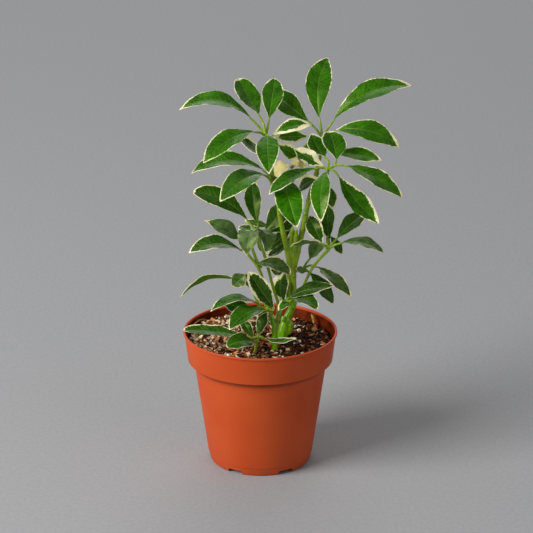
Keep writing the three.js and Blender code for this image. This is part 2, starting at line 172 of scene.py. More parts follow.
# The width of cream that no longer narrows towards the base, and the width that is fully torn, in
# millimetres, then how torn any cream is at least, and how near the tip counts as an edge, as shares.
CREAM_FULL_TO_BASE = 8
CREAM_FULLY_TORN = 0.3
CREAM_LEAST_TORN = 0.35
CREAM_TIP_SHARE = 0.7

# Stalks, in millimetres and shares. A taper is the share of the radius at each share of the length.
STALK_RADIUS = 0.84
STALK_ENTRY = 1.6
STALK_SINK = 0.25
STALK_BEND = 0.6
STALK_LEAN = 0.25
STALK_STEPS = 14
STALK_TAPER = ((0, 0.15, 0.7, 1), (1.45, 1, 0.95, 0.75))
PETIOLE_TAPER = ((0, 0.08, 0.3, 0.85, 1), (1.75, 1.3, 1.05, 1.05, 1.3))
HUB_RADIUS = 1.5
HUB_OVERRUN = 0.6
CURVE_STEPS = 24
PATH_STEP = 0.8
VOXEL = 0.32

# Stage, in metres. A softbox has a place, a size and a share of the key light's power: first the key,
# from the upper left in front, then a weak fill from the right, then a broad panel behind.
FLOOR_SIZE = 16
LIGHT_AIM = (0.01, 0, 0.14)
SOFTBOXES = (
    ((-1.72, -0.98, 1.3), 1.3, 1),
    ((1.5, -1.2, 0.9), 1.4, 0.08),
    ((0.1, 2.3, 1.7), 2.2, 0.32),
)
AIR_COLOUR = "#C8C9CC"
AIR_STRENGTH = 0.42
CAMERA_SHIFT = 4.35 * MM
SENSOR_WIDTH = 36


def linear(hex_colour):
    """The linear colour that a shader needs, from an sRGB hex."""
    shares = [int(hex_colour[i:i + 2], 16) / 255 for i in (1, 3, 5)]
    return [s / 12.92 if s <= 0.04045 else ((s + 0.055) / 1.055) ** 2.4 for s in shares]


def rgba(hex_colour):
    return (*linear(hex_colour), 1)


@dataclass
class Leaflet:
    """A blade and its stalk, in millimetres. Left and right are seen from the base of the blade with
    its upper side in view."""

    base: list  # where the midrib begins
    tip: list
    width: float
    arch: float  # how far the midrib rises
    face: list  # the way the upper side looks
    sway: float = 0  # how far the midrib bends to the right
    point: float = 0.8  # how it tapers: 0.4 is round and 1.5 drawn out
    widest: float = 0.55  # the share of its length at which it is widest
    origin: list = None  # where the stalk begins, if not at the hub
    left: float = None  # the cream's width at the left edge, if not the frond's
    right: float = None
    end: float = 0.4  # more cream at the tip
    grows: float = 0.6  # how late the cream widens towards the tip
    foot: float = 0  # more cream at the base
    ragged: float = 1  # how torn the cream's inner edge is
    age: float = None  # 0 is fresh and 1 old, if not the frond's
    grey: float = 0  # how strong its painted sheen is, a grey-green that also yellows its cream
    wave: float = 1  # how strongly the edge waves


@dataclass
class Frond:
    """A petiole from the stem to its hub, more stalks where there are any, and the leaflets."""

    petiole: list
    leaflets: list
    stalks: list = ()
    age: float = 0.45  # 0 is fresh and 1 old
    girth: float = 1  # how thick the petiole is
    cream: float = 0.58  # the cream's usual width at an edge


# The limbs of each stem: the points of one, and its radii spread evenly along it.
LEFT_STEM = [
    ([[9, -18, 72], [9.9, -18, 86], [10.2, -17.8, 96], [9.9, -17.2, 103], [9.6, -16, 108]],
     [2.3, 2.4, 2.3, 2, 1.7]),
    ([[9.8, -16.6, 104], [8.2, -15.6, 112], [6.6, -14, 117], [4, -12, 121]], [1.6, 1.3, 1.15, 0.9]),
]
RIGHT_STEM = [
    ([[13.4, 1, 70], [14.8, 2, 86], [15.6, 3, 92], [17, 4.4, 98.5], [19.4, 5.6, 104.5], [21.8, 6, 109.5],
      [23.4, 5.8, 114], [23.6, 5.4, 122], [23.3, 5, 130], [23.2, 4.8, 140], [23.2, 4.6, 149]],
     [2, 2.3, 3.3, 3.5, 2.9, 2.4, 2.2, 2, 1.9, 2, 2]),
    ([[22, 6, 111], [20.4, 5.4, 116], [19.8, 5, 123], [19.8, 5, 132], [20.3, 4.8, 140]],
     [1.6, 1.8, 1.7, 1.8, 2]),
    ([[18.8, 5.4, 103.4], [20.6, 4.8, 99.5], [20.8, 4, 95.6], [18.8, 3.2, 92.4], [16.4, 2.6, 90.6]],
     [1.7, 2.2, 2.2, 1.7, 1.3]),
    ([[16.8, 3.4, 105], [15.6, 2.6, 102]], [1.5, 1.7]),
    ([[20.8, 5, 137], [20, 4.4, 147], [18.7, 3.8, 155], [17.2, 3, 161], [15.6, 2.4, 169], [13.4, 2, 181],
      [11.6, 2, 195], [8.8, 2, 203]],
     [2, 2.2, 1.9, 1.7, 1.55, 1.35, 1.1]),
    ([[22.6, 5.2, 137], [24.6, 5.4, 147], [26.4, 6.6, 155], [28.2, 8.4, 162], [30.4, 10.8, 172],
      [33.8, 14, 188], [38.5, 17, 204], [40, 17, 212]],
     [2, 2.4, 2.1, 2, 1.8, 1.8, 1.7, 1.6]),
    ([[21.2, 4.2, 149], [20.9, 3.8, 158], [21.6, 3.6, 166], [22.4, 4, 171]], [1.7, 1.4, 1.2, 0.9]),
    ([[23, 4.4, 149], [23.8, 4.4, 158], [24.6, 4.8, 164], [24.6, 5, 169]], [2.1, 1.8, 1.9, 1.4]),
]

FRONDS = {
    "frond_top_left": Frond(
        petiole=[[9, 3, 204], [7, 3, 215], [5, 2, 226], [4, 0, 238]],
        leaflets=[
            Leaflet([-6, 3, 250], [-55, 6, 255], 17, 11, [0.1, -0.3, 0.9], sway=1, right=0.8, end=1.6,
                    grows=2.5, left=0.1),
            Leaflet([0, 8, 250], [-15, 34, 269], 18, -2, [0.3, -0.4, 0.8], sway=1, point=0.35,
                    widest=0.62),
            Leaflet([6, 8, 247], [10, 38, 268], 15, 0, [0.1, -0.6, 0.8], point=0.55, widest=0.6),
            Leaflet([5, -4, 240], [6, -36, 223], 16, 3, [-0.1, -0.5, 0.9], widest=0.45),
            Leaflet([-3, -5, 243], [-38, -28, 228], 17, 7, [-0.1, -0.5, 0.9]),
        ]),
    "frond_middle_left": Frond(
        petiole=[[9, 1, 202], [8, -1.5, 204.5]],
        girth=0.8,
        leaflets=[
            Leaflet([3, 2, 213], [-47, 2, 211], 17, 9, [0, -0.3, 0.9], sway=1),
            Leaflet([3, -4, 212], [-27, -32, 202], 18, 8, [0.1, -0.4, 0.9], grey=0.2),
            Leaflet([17, -2, 210], [25, -36, 185], 19, 6, [0, -0.6, 0.8], sway=2, age=0),
        ]),
    "frond_new_growth": Frond(
        petiole=[[11, 4.5, 203.5], [8, 9, 218], [5.4, 8, 231]],
        leaflets=[
            Leaflet([8, 8, 236], [35, 14, 242], 12, 5, [0.1, -0.5, 0.9], sway=1, left=0.75, right=4.2,
                    end=4, foot=3, ragged=1.8),
            Leaflet([8, 8, 234], [33, 18, 232], 10, -2, [-0.1, -0.7, 0.7], sway=-2, right=1.2, foot=10,
                    ragged=2),
            Leaflet([11, 8, 231], [31, 10, 217.5], 10, -1, [-0.3, -0.7, 0.6], left=3.2, right=0.5,
                    ragged=1.8),
            Leaflet([21.1, -3, 217.9], [9.8, -1, 212.2], 13, 1, [-0.6, -0.6, 0.5], left=9, right=9,
                    origin=[21.8, 2, 214.8], wave=2, point=0.5, widest=0.6, grey=0.7),
            Leaflet([5, 12, 219], [-15, 34, 231], 16, -4, [0.4, -0.1, 0.9], sway=2, origin=[8, 9, 216],
                    right=3, age=0.89, ragged=1.6),
        ]),
    "frond_top_right": Frond(
        petiole=[[40, 17, 211], [42, 17.5, 221], [43, 18, 229]],
        leaflets=[
            Leaflet([34, 24, 241], [9, 50, 256], 17, 5, [-0.1, -0.6, 0.8], sway=-3, age=0.64),
            Leaflet([41, 24, 243], [47, 56, 278], 18, 4, [0, -0.8, 0.6], sway=-4),
            Leaflet([50, 18, 244], [104, 28, 266], 18, 10, [-0.3, -0.5, 0.8], sway=-1, left=1.7, end=2.2,
                    grows=3, right=0.1, ragged=1.5),
            Leaflet([51, 14, 238], [95, 4, 229], 17, 8, [0, -0.6, 0.8], sway=-1, left=1.5, end=1.6,
                    grows=2.2, right=0.1, ragged=1.3),
            Leaflet([51, 12, 222.5], [83, 4, 219.5], 12.5, 2, [0, -0.5, 0.85], age=0.56, left=0.7,
                    right=0.3),
            Leaflet([25.6, 5, 222.5], [23.9, 4, 215.3], 9, 0, [-0.75, -0.6, 0.25], left=9, right=9,
                    wave=2, grey=0.6),
            Leaflet([28.7, 5, 221.4], [29.4, 4, 213.8], 11, 0, [-0.75, -0.6, 0.25], left=9, right=9,
                    wave=2, grey=0.6),
        ]),
    "frond_front_right": Frond(
        petiole=[[35, 12, 187], [40, 2, 199], [45, -8, 211], [46, -13, 219]],
        leaflets=[
            Leaflet([52, -8, 223], [47, 12, 238], 18, 0, [0.3, -0.5, 0.8], sway=1, point=0.5, widest=0.6,
                    left=0.8),
            Leaflet([45, -6, 225], [35, 8, 238], 15, -3, [0.3, -0.6, 0.8], right=0.9, wave=1.5),
            Leaflet([58, -14, 222], [96, -26, 203], 17, 3, [0.25, -0.4, 0.9], left=1.3, right=0.6,
                    grows=1.2, ragged=1.4),
            Leaflet([53, -17, 216], [80, -40, 189], 16, -2, [0.2, -0.6, 0.8], sway=1, left=2.8, grows=1.4,
                    ragged=2.2),
            Leaflet([45, -17, 219], [41, -50, 194], 14, 7, [-0.3, -0.55, 0.8], age=0.4),
            Leaflet([38, -14, 220], [6, -26, 205], 15, 3, [-0.3, -0.3, 0.9]),
            Leaflet([44, -10, 219], [23, -2, 230], 11.5, 2, [-0.1, -0.6, 0.8], sway=-1, left=0.7,
                    right=5.4, foot=5, ragged=2, wave=3, point=1.1),
            Leaflet([42, -3, 209], [26, 14, 193], 15, 4, [-0.7, -0.35, 0.6], sway=-1, right=4.6, age=0.89,
                    origin=[44, -6, 209]),
            Leaflet([44, 0, 205], [50, 2, 185], 9, 2, [0.6, -0.8, 0.1], origin=[42, -2, 204], end=2,
                    age=0.78),
        ]),
    "frond_centre_left": Frond(
        petiole=[[10, -13, 104], [12, -7, 110], [12.5, -4, 117], [10, -4, 126], [7, -3, 137], [4, -2, 149],
                 [-3, 0, 170]],
        stalks=[[[0, -6.5, 145], [-3, -7, 152], [-6, -6, 163], [-4, -1, 170]]],
        age=0.83,
        cream=0.4,
        leaflets=[
            Leaflet([-8, 2, 176], [-46, 6, 196], 16.5, 4, [0.3, -0.6, 0.7], sway=3, point=0.45,
                    widest=0.6, right=0.7),
            Leaflet([-1.5, 8, 171], [-5, 30, 197], 12, 4, [-0.15, -0.75, 0.65], sway=-1, left=0.6),
            Leaflet([3, 6, 168], [17, 16, 186], 14, 2, [0.1, -0.7, 0.7], sway=2, grey=0.15, age=0.94,
                    right=0.5),
            Leaflet([5, 10, 165], [25, 24, 173], 14, 1, [0, -0.8, 0.5], right=0.9, age=1),
            Leaflet([6, 6, 153], [21, 14, 166], 9, 1, [-0.3, -0.7, 0.6], age=1, left=0.1, right=0.1),
            Leaflet([-3, -6, 171], [-9, -28, 162], 16, 8, [-0.2, -0.1, 1], sway=-1, point=0.9, grey=1,
                    left=0.02, right=0.15, wave=4, age=1),
            Leaflet([-2, -4, 171], [4, -26, 163], 15.5, 7, [0.5, -0.2, 0.9], sway=1, widest=0.46,
                    grey=0.8, left=0.02, right=0.02, wave=2.5),
            Leaflet([-6, 6, 168], [-15, 14, 168], 8, 0, [-0.2, -0.2, 1]),
            Leaflet([8, 22, 165], [-11, 28, 168], 6, 1, [-0.1, -0.6, 0.8], sway=-1, grey=0.4),
            Leaflet([4, 12, 161], [-6, 15, 161], 7, 1, [-0.1, -0.6, 0.8], age=1, left=0.1, right=0.1),
        ]),
    "frond_left_front": Frond(
        petiole=[[4.5, -12, 119], [1.2, -10, 130], [1.2, -8, 139], [-2.2, -8, 147], [-8.4, -9, 156],
                 [-12, -9, 162]],
        age=0.83,
        cream=0.34,
        leaflets=[
            Leaflet([-13, -8, 166], [-38, -16, 183], 13, 6, [0.6, -0.6, 0.6], sway=-2, point=1.5,
                    grey=0.8, left=0.1, right=0.1, end=0.6, wave=2),
            Leaflet([-13, -10, 159], [-49, -18, 160], 17, 7, [0.1, -0.25, 0.95], right=0.6, end=1.2),
            Leaflet([-3, -8, 148], [21, -14, 143], 13, 5, [0.2, -0.4, 0.9], origin=[-2, -8, 147],
                    left=0.9, right=0.02, grey=0.5, age=1, point=0.55, ragged=1.4),
        ]),
    "frond_low_left": Frond(
        petiole=[[9, -14, 106], [1.2, -8, 113], [-2.6, -5, 121], [-5.7, -5, 129], [-11, -6, 135]],
        age=0.83,
        cream=0.3,
        leaflets=[
            Leaflet([-13, -6, 135], [-55, -14, 126], 7.5, 9, [-0.1, 0.75, 0.65], left=0.35, right=0.3,
                    age=0.5),
            Leaflet([-10.5, -9.5, 141.5], [-19, -13, 134], 11, -1, [-0.2, -0.9, 0.4], point=0.5,
                    widest=0.5, left=0.4, right=0.02, grey=0.8, age=0.94),
        ]),
    "frond_low_front": Frond(
        petiole=[[9, -16, 108], [6.5, -16, 115], [5, -16, 118.5]],
        age=0.65,
        cream=0.38,
        leaflets=[
            Leaflet([1, -16, 120], [-34, -28, 121], 15, 7, [0, 0, 1]),
            Leaflet([4, -19, 118], [-21, -42, 113], 17, 6, [0, -0.2, 1]),
            Leaflet([-6, -10, 117], [-26, -16, 123], 13, 0, [0, -0.6, 0.7], sway=-1, age=0.72),
            Leaflet([10, -18, 119], [-8, -14, 145], 14.5, 1, [0.35, -0.7, 0.5], sway=-1, point=0.7,
                    left=1.6, right=1.8, end=1.6, ragged=2.2, age=0.94),
        ]),
    "frond_low_centre": Frond(
        petiole=[[11, -15, 102], [12.4, -13, 108], [14.7, -10, 115], [17, -9, 121]],
        age=0.86,
        cream=0.34,
        leaflets=[
            Leaflet([19, -8, 123], [50, -18, 136], 13, 4, [0.35, -0.4, 0.8], sway=2, left=0.02, age=1),
            Leaflet([21, -12, 123], [39, -34, 125], 14, 4, [-0.1, 0, 1], point=0.6, right=0.02),
            Leaflet([21, -14, 122], [12.5, -21, 119], 7, 2, [-0.3, -0.6, 0.7], left=0.1, right=0.9,
                    age=0.45),
            Leaflet([17, -2, 117], [17, 12, 134], 14, 4, [-0.35, -0.75, 0.6], sway=-2, point=0.6,
                    left=4.2, right=0.5, ragged=2.2),
            Leaflet([17, 8, 137], [7, 4, 139], 8.5, -1, [0.1, -0.6, 0.8], origin=[19.5, 5, 134], left=0.8,
                    age=1),
        ]),
    "frond_centre_right": Frond(
        petiole=[[23, 6, 112], [29, 4, 125], [36.7, 2, 142.6], [47, 0, 156]],
        age=0.89,
        cream=0.4,
        leaflets=[
            Leaflet([44, 4, 158], [34, 16, 175.5], 11.5, 5, [-0.2, -0.8, 0.5], left=1.1, right=1.1,
                    ragged=1.8),
            Leaflet([48, 8, 160], [48, 30, 180], 11, 0, [-0.4, -0.6, 0.7], sway=-1, left=0.02,
                    right=0.02),
            Leaflet([53, 6, 162], [74, 22, 176], 13, 2, [-0.1, -0.5, 0.8], left=0.05, grey=0.1),
            Leaflet([56, -2, 162], [85, -8, 157], 12, 4, [0.1, -0.3, 1], left=0.02, right=0.12, grey=0.6),
            Leaflet([42, -4, 162], [20.5, -10, 162], 7.5, 1, [-0.2, 0.7, 0.7], sway=-1, grey=0.5,
                    left=0.5, right=0.5),
            Leaflet([49, 12, 162], [57, 8, 150], 8, 1, [0.5, -0.6, 0.6], sway=1, left=0.05, right=0.05),
        ]),
    "frond_low_right": Frond(
        petiole=[[25, 6, 138], [30, 8, 139]],
        age=0.92,
        cream=0.36,
        girth=0.7,
        leaflets=[
            Leaflet([39, 7, 141.5], [63, -11, 125], 14, 2, [0.55, -0.45, 0.7], sway=1, left=0.9,
                    right=0.9, grey=0.3, age=1),
            Leaflet([34, 10, 136], [51, 6, 114], 13, 1, [0.6, -0.6, 0.6], age=0.89, left=0.05,
                    right=0.05),
            Leaflet([34, 8, 146], [42, 18, 157], 12, 0, [-0.4, -0.5, 0.7], sway=1, grey=1, left=0.02,
                    right=0.02),
            Leaflet([32, 5, 138], [24.5, 0, 142], 5.5, 0, [-0.3, -0.7, 0.6], grey=1, left=0.05,
                    right=0.05, age=0.56),
        ]),
    "frond_inner": Frond(
        petiole=[[22, 6, 165], [21.5, 11, 164]],
        age=0.94,
        girth=0.7,
        leaflets=[Leaflet([21, 12, 162], [4, 4, 149], 13, -3, [-0.5, -0.3, 0.8], right=1.3)]),
    "seedling": Frond(
        petiole=[[-4.5, -25, 74], [-4.3, -25, 86], [-3, -25, 93], [-2.2, -24.5, 98], [-1, -24, 101]],
        age=0.75,
        cream=0.28,
        leaflets=[
            Leaflet([-8, -26, 101], [-53, -22, 105], 11.5, 1, [0.1, -0.3, 1], sway=1, point=0.35,
                    widest=0.58, left=0.02, right=0.9, end=0.05, ragged=1.5),
            Leaflet([-4, -27, 98], [-23, -40, 100], 14, 4, [0.3, -0.3, 0.9], sway=-1, point=0.45),
            Leaflet([-4, -22, 99], [-12.5, -14, 110], 7.5, 4, [0, -0.8, 0.6], sway=-1, right=0.5),
            Leaflet([-1.5, -25, 101.5], [5.5, -21, 118], 10.5, 1, [-0.5, -0.5, 0.7], left=0.5, right=1.2),
            Leaflet([2, -26, 101], [25, -32, 103], 9, -3, [-0.1, -0.05, 1], left=1.6, right=0.5, age=0.5),
        ]),
}


# Materials.

SMOOTH = {"interpolation_type": "SMOOTHSTEP"}

# A colour mix has its share at socket 0, its colours at 6 and 7, and its result at output 2.
COLOURS = {"data_type": "RGBA"}

# Heights on the pot and the stems where a colour begins or ends.
DUST_TOP = 30
# Painted shade: the crease under the pot's band is darkened between the next three heights.
CREASE_SHADE_FOOT = 70.4
CREASE_SHADE_DARK = 72.8
CREASE_SHADE_TOP = 75.6
WOOD_FOOT = 112
WOOD_FULL = 130

# Greens of a blade: fresh, its darker blotches, old, its darker blotches, and the grey of a painted sheen.
FRESH_GREEN = "#3E8402"
UPPER_GREENS = ("#225A00", "#2A460F", "#172E0A", "#5E7248")
# The same for the underside, its last green the grey of the painted sheen.
FRESH_UNDERSIDE = "#587A2C"
UNDER_GREENS = ("#48691F", "#4C6A34", "#3C582A", "#6E8560")
CREAM = "#FEFFD8"
STEM_GREEN = "#94CE0E"

# Side veins: their spacing, and how far they slant forwards for each millimetre outwards.
VEIN_SPACING = 3.6
VEIN_SLANT = 0.8

# Noise that tears the cream's inner edge: its size, its detail, and how far it moves the edge.
TEARS = ((1.9, 2, 1.3), (0.8, 1, 0.6), (8, 1, 1.8))


def add_node(tree, kind, *values, **settings):
    """Adds a node and gives its outputs. values fill its sockets in order, or one dict fills them by
    name or number. Each is a plain value or the output that feeds the socket."""
    made = tree.nodes.new("ShaderNode" + kind)
    for name, value in settings.items():
        setattr(made, name, value)
    by_name = values and isinstance(values[0], dict)
    for socket, value in values[0].items() if by_name else enumerate(values):
        if isinstance(value, bpy.types.NodeSocket):
            tree.links.new(value, made.inputs[socket])
        else:
            made.inputs[socket].default_value = value
    return made.outputs


def new_material(name):
    """An empty material, what adds a node to it, and the place of a shaded point in metres."""
    made = bpy.data.materials.new(name)
    made.use_nodes = True
    made.node_tree.nodes.clear()
    add = partial(add_node, made.node_tree)
    return made, add, add("TexCoord")["Object"]


def pot_plastic(colour):
    """Polypropylene, injection-moulded: matte and a little cloudy, with a fine spark-eroded grain, a
    dusting of peat low down and painted shade darkening the crease under the band. The grain is far
    finer than a pixel, so it is drawn 0.7 mm wide."""
    made, add, place = new_material("polypropylene_injection_moulded")
    cloudy, specks, dust, grain, gloss = (
        add("TexNoise", {"Vector": place, "Scale": 1 / (size * MM), "Detail": detail})["Fac"]
        for size, detail in ((34, 2), (2.2, 4), (9, 5), (0.7, 3), (12, 2))
    )
    height = add("SeparateXYZ", place)["Z"]
    cloudy = add("MapRange", cloudy, 0.3, 0.7, **SMOOTH)[0]
    specks = add("MapRange", specks, 0.66, 0.74, 0, 0.088, **SMOOTH)[0]
    low = add("MapRange", height, DUST_TOP * MM, 0, 0, 0.35, **SMOOTH)[0]
    dust = add("MapRange", dust, 0.45, 0.75, **SMOOTH)[0]
    dust = add("Math", dust, low, operation="MULTIPLY")[0]
    marks = add("Math", specks, dust, operation="MAXIMUM")[0]
    # Painted shade in the crease under the band: mixed towards #6A2A12 up to the band's edge.
    shade_under_band = add("MapRange", height, CREASE_SHADE_FOOT * MM, CREASE_SHADE_DARK * MM, 0, 0.5, **SMOOTH)[0]
    below_edge = add("Math", height, CREASE_SHADE_TOP * MM, operation="LESS_THAN")[0]
    crease = add("Math", shade_under_band, below_edge, operation="MULTIPLY")[0]
    base = add("Mix", {0: cloudy, 6: (*colour, 1), 7: rgba("#C24F20")}, **COLOURS)[2]
    base = add("Mix", {0: marks, 6: base, 7: rgba("#8A4A30")}, **COLOURS)[2]
    base = add("Mix", {0: crease, 6: base, 7: rgba("#6A2A12")}, **COLOURS)[2]
    shader = add("BsdfPrincipled", {
        "Base Color": base,
        "Roughness": add("MapRange", gloss, 0.3, 0.7, 0.5, 0.6, **SMOOTH)[0],
        "Normal": add("Bump", {"Height": grain, "Distance": 0.035 * MM, "Strength": 0.6})[0],
        "IOR": 1.49,
        "Specular IOR Level": 0.22,
    })
    add("OutputMaterial", shader[0])
    return made


def shaded_inner_plastic():
    """The same polypropylene inside the pot, darkened all over as painted shade of the pot's inside,
    mottled, and dusted by damp peat.
    """
    made, add, place = new_material("polypropylene_painted_shade_inside")
    wall_mottle, dust = (
        add("TexNoise", {"Vector": place, "Scale": 1 / (size * MM), "Detail": detail})["Fac"]
        for size, detail in ((8, 5), (1.4, 4))
    )
    wall_mottle = add("MapRange", wall_mottle, 0.35, 0.7, **SMOOTH)[0]
    dust = add("MapRange", dust, 0.62, 0.72, 0, 0.6, **SMOOTH)[0]
    # Painted shade: the inner wall is mixed from two dark reds in place of the pot's own colour.
    base = add("Mix", {0: wall_mottle, 6: rgba("#7C2C0C"), 7: rgba("#4C1A06")}, **COLOURS)[2]
    base = add("Mix", {0: dust, 6: base, 7: rgba("#3C2114")}, **COLOURS)[2]
    relief = add("Bump", {"Height": dust, "Distance": 0.1 * MM})[0]
    shader = {"Base Color": base, "Roughness": 0.6, "Normal": relief, "Specular IOR Level": 0.05}
    add("OutputMaterial", add("BsdfPrincipled", shader)[0])
    return made


def peat():
    """Peat and coir, sieved, with warm crumbs: partly its own dark brown, partly painted shade, nearly
    black between the chips.
    """
    made, add, place = new_material("peat_and_coir_sieved")
    crumbs = add("TexNoise", {"Vector": place, "Scale": 1 / (1.6 * MM), "Detail": 4})["Fac"]
    crumbs = add("MapRange", crumbs, 0.35, 0.68, **SMOOTH)[0]
    # Partly painted shade: the near-black #080402 stands in for the shade in the gaps between the chips.
    base = add("Mix", {0: crumbs, 6: rgba("#080402"), 7: rgba("#301A0C")}, **COLOURS)[2]
    relief = add("Bump", {"Height": crumbs, "Distance": 0.7 * MM})[0]
    shader = {"Base Color": base, "Roughness": 0.95, "Normal": relief, "Specular IOR Level": 0.15}
    add("OutputMaterial", add("BsdfPrincipled", shader)[0])
    return made


def bark():
    """Composted pine bark, chipped: matte flakes from near black to tan, each of its own colour."""
    made, add, place = new_material("pine_bark_chipped")
    tone = add("Attribute", attribute_name="chip_tone")["Fac"]
    tones = add("ValToRGB", tone)["Color"]
    stops = ((0, "#140803"), (0.3, "#5C280C"), (0.55, "#A85A28"), (0.8, "#E4A868"), (1, "#FFEAC4"))
    band = tones.node.color_ramp
    while len(band.elements) < len(stops):
        band.elements.new(0.5)
    for element, (position, hex_colour) in zip(band.elements, stops):
        element.position = position
        element.color = rgba(hex_colour)
    fibres = add("TexNoise", {"Vector": place, "Scale": 1 / (0.8 * MM), "Detail": 4})["Fac"]
    fibres = add("MapRange", fibres, 0.36, 0.68, **SMOOTH)[0]
    shade = add("Math", fibres, 0.5, operation="MULTIPLY")[0]
    base = add("Mix", {0: shade, 6: tones, 7: rgba("#341A0E")}, **COLOURS)[2]
    relief = add("Bump", {"Height": fibres, "Distance": 0.25 * MM})[0]
    shader = {"Base Color": base, "Roughness": 0.85, "Normal": relief, "Specular IOR Level": 0.2}
    add("OutputMaterial", add("BsdfPrincipled", shader)[0])
    return made


def perlite():
    """Perlite, popped in a furnace: chalky white crumbs, pitted and a little dirty."""
    made, add, place = new_material("perlite_expanded")
    dirt, pits = (
        add("TexNoise", {"Vector": place, "Scale": 1 / (size * MM), "Detail": detail})["Fac"]
        for size, detail in ((1.1, 3), (0.5, 2))
    )
    dirt = add("MapRange", dirt, 0.5, 0.75, 0, 0.6, **SMOOTH)[0]
    base = add("Mix", {0: dirt, 6: rgba("#F8ECD4"), 7: rgba("#A88458")}, **COLOURS)[2]
    relief = add("Bump", {"Height": pits, "Distance": 0.15 * MM})[0]
    shader = {"Base Color": base, "Roughness": 0.9, "Normal": relief}
    add("OutputMaterial", add("BsdfPrincipled", shader)[0])
    return made


def dry_leaf():
    """A dead leaf strip, sun-dried: straw yellow with brown blotches along its fibres."""
    made, add, place = new_material("leaf_strip_dried")
    blotch, fibres = (
        add("TexNoise", {"Vector": place, "Scale": 1 / (size * MM), "Detail": detail})["Fac"]
        for size, detail in ((2.5, 3), (0.6, 2))
    )
    blotch = add("MapRange", blotch, 0.4, 0.7, **SMOOTH)[0]
    base = add("Mix", {0: blotch, 6: rgba("#A8923A"), 7: rgba("#6E5526")}, **COLOURS)[2]
    relief = add("Bump", {"Height": fibres, "Distance": 0.1 * MM})[0]
    shader = {"Base Color": base, "Roughness": 0.7, "Normal": relief}
    add("OutputMaterial", add("BsdfPrincipled", shader)[0])
    return made


def weathered(add, place, base, woody):
    """A stem's green turned olive in patches higher up, with tan leaf scars."""
    patches, flecks = (
        add("TexNoise", {"Vector": place, "Scale": 1 / (size * MM), "Detail": 3})["Fac"]
        for size in (5, 1.5)
    )
    height = add("SeparateXYZ", place)["Z"]
    higher = add("MapRange", height, WOOD_FOOT * MM, WOOD_FULL * MM, **SMOOTH)[0]
    patches = add("MapRange", patches, 0.35, 0.65, 0.5, 1, **SMOOTH)[0]
    patches = add("Math", patches, higher, operation="MULTIPLY")[0]
    base = add("Mix", {0: patches, 6: base, 7: rgba(woody)}, **COLOURS)[2]
    scar = add("Attribute", attribute_name="scar")["Fac"]
    flecks = add("MapRange", flecks, 0.3, 0.6, **SMOOTH)[0]
    worn = add("Math", scar, flecks, operation="MULTIPLY")[0]
    return add("Mix", {0: worn, 6: base, 7: rgba("#7E7430")}, **COLOURS)[2]


def green_skin(name, light, dark, streak_size, woody=None):
    """Living green bark: waxy, streaked along the stem, with pale specks. A woody one is weathered."""
    made, add, place = new_material(name)
    drawn_out = add("Mapping", {"Vector": place, "Scale": (1, 1, 0.16)})[0]
    streaks, specks, gloss = (
        add("TexNoise", {"Vector": spot, "Scale": 1 / (size * MM), "Detail": detail})["Fac"]
        for spot, size, detail in ((drawn_out, streak_size, 3), (place, 0.9, 1), (place, 3, 2))
    )
    streaks = add("MapRange", streaks, 0.3, 0.72, **SMOOTH)[0]
    specks = add("MapRange", specks, 0.68, 0.74, 0, 0.5, **SMOOTH)[0]
    base = add("Mix", {0: streaks, 6: light, 7: rgba(dark)}, **COLOURS)[2]
    base = add("Mix", {0: specks, 6: base, 7: rgba("#A9BE5C")}, **COLOURS)[2]
    if woody:
        base = weathered(add, place, base, woody)
    shader = add("BsdfPrincipled", {
        "Base Color": base,
        "Roughness": add("MapRange", gloss, 0.3, 0.7, 0.16, 0.3, **SMOOTH)[0],
        "Normal": add("Bump", {"Height": streaks, "Distance": 0.06 * MM, "Strength": 0.6})[0],
        "IOR": 1.45,
        "Specular IOR Level": 0.5,
    })
    add("OutputMaterial", shader[0])
    return made


def blade_lines(add, side, phase):
    """The midrib, and the side veins, which fade towards the edge, as shares from 0 to 1."""
    turn = add("Math", phase, 2 * math.pi / VEIN_SPACING, operation="MULTIPLY")[0]
    crest = add("Math", turn, operation="COSINE")[0]
    veins = add("MapRange", crest, 0.82, 1, **SMOOTH)[0]
    inner = add("MapRange", side, 7.5, 1.5, 0.25, 1, **SMOOTH)[0]
    veins = add("Math", veins, inner, operation="MULTIPLY")[0]
    return add("MapRange", side, 0.5, 0.06, **SMOOTH)[0], veins


def blade_green(add, place, phase, fresh, greens):
    """A mottled green from fresh to old, streaked along the side veins and differently on each blade,
    with a grey painted sheen on some."""
    across, _, draw = add("SeparateXYZ", add("Attribute", attribute_name="blade_place")["Vector"])
    age, grey, _ = add("SeparateXYZ", add("Attribute", attribute_name="blade_looks")["Vector"])
    blotches, painted_sheen = (
        add("TexNoise", {"Vector": place, "Scale": 1 / (size * MM), "Detail": detail})["Fac"]
        for size, detail in ((9, 2), (4, 4))
    )
    across = add("Math", across, 0.22, operation="MULTIPLY")[0]
    draw = add("Math", draw, 40, operation="MULTIPLY")[0]
    grain = add("CombineXYZ", phase, across, draw)[0]
    streaks = add("TexNoise", {"Vector": grain, "Scale": 0.9, "Detail": 3})["Fac"]
    mottle = add("Math", blotches, streaks, operation="ADD")[0]
    mottle = add("MapRange", mottle, 0.68, 1.32, **SMOOTH)[0]
    fresh_dark, old, old_dark, sheen_grey = (rgba(hex_colour) for hex_colour in greens)
    young = add("Mix", {0: mottle, 6: fresh, 7: fresh_dark}, **COLOURS)[2]
    aged = add("Mix", {0: mottle, 6: old, 7: old_dark}, **COLOURS)[2]
    green = add("Mix", {0: age, 6: young, 7: aged}, **COLOURS)[2]
    # Painted sheen: a grey-green mixed in, as strong as the blade's grey.
    painted_sheen = add("MapRange", painted_sheen, 0.28, 0.66, 0.25, 1, **SMOOTH)[0]
    painted_sheen = add("Math", grey, painted_sheen, operation="MULTIPLY")[0]
    return add("Mix", {0: painted_sheen, 6: green, 7: sheen_grey}, **COLOURS)[2]


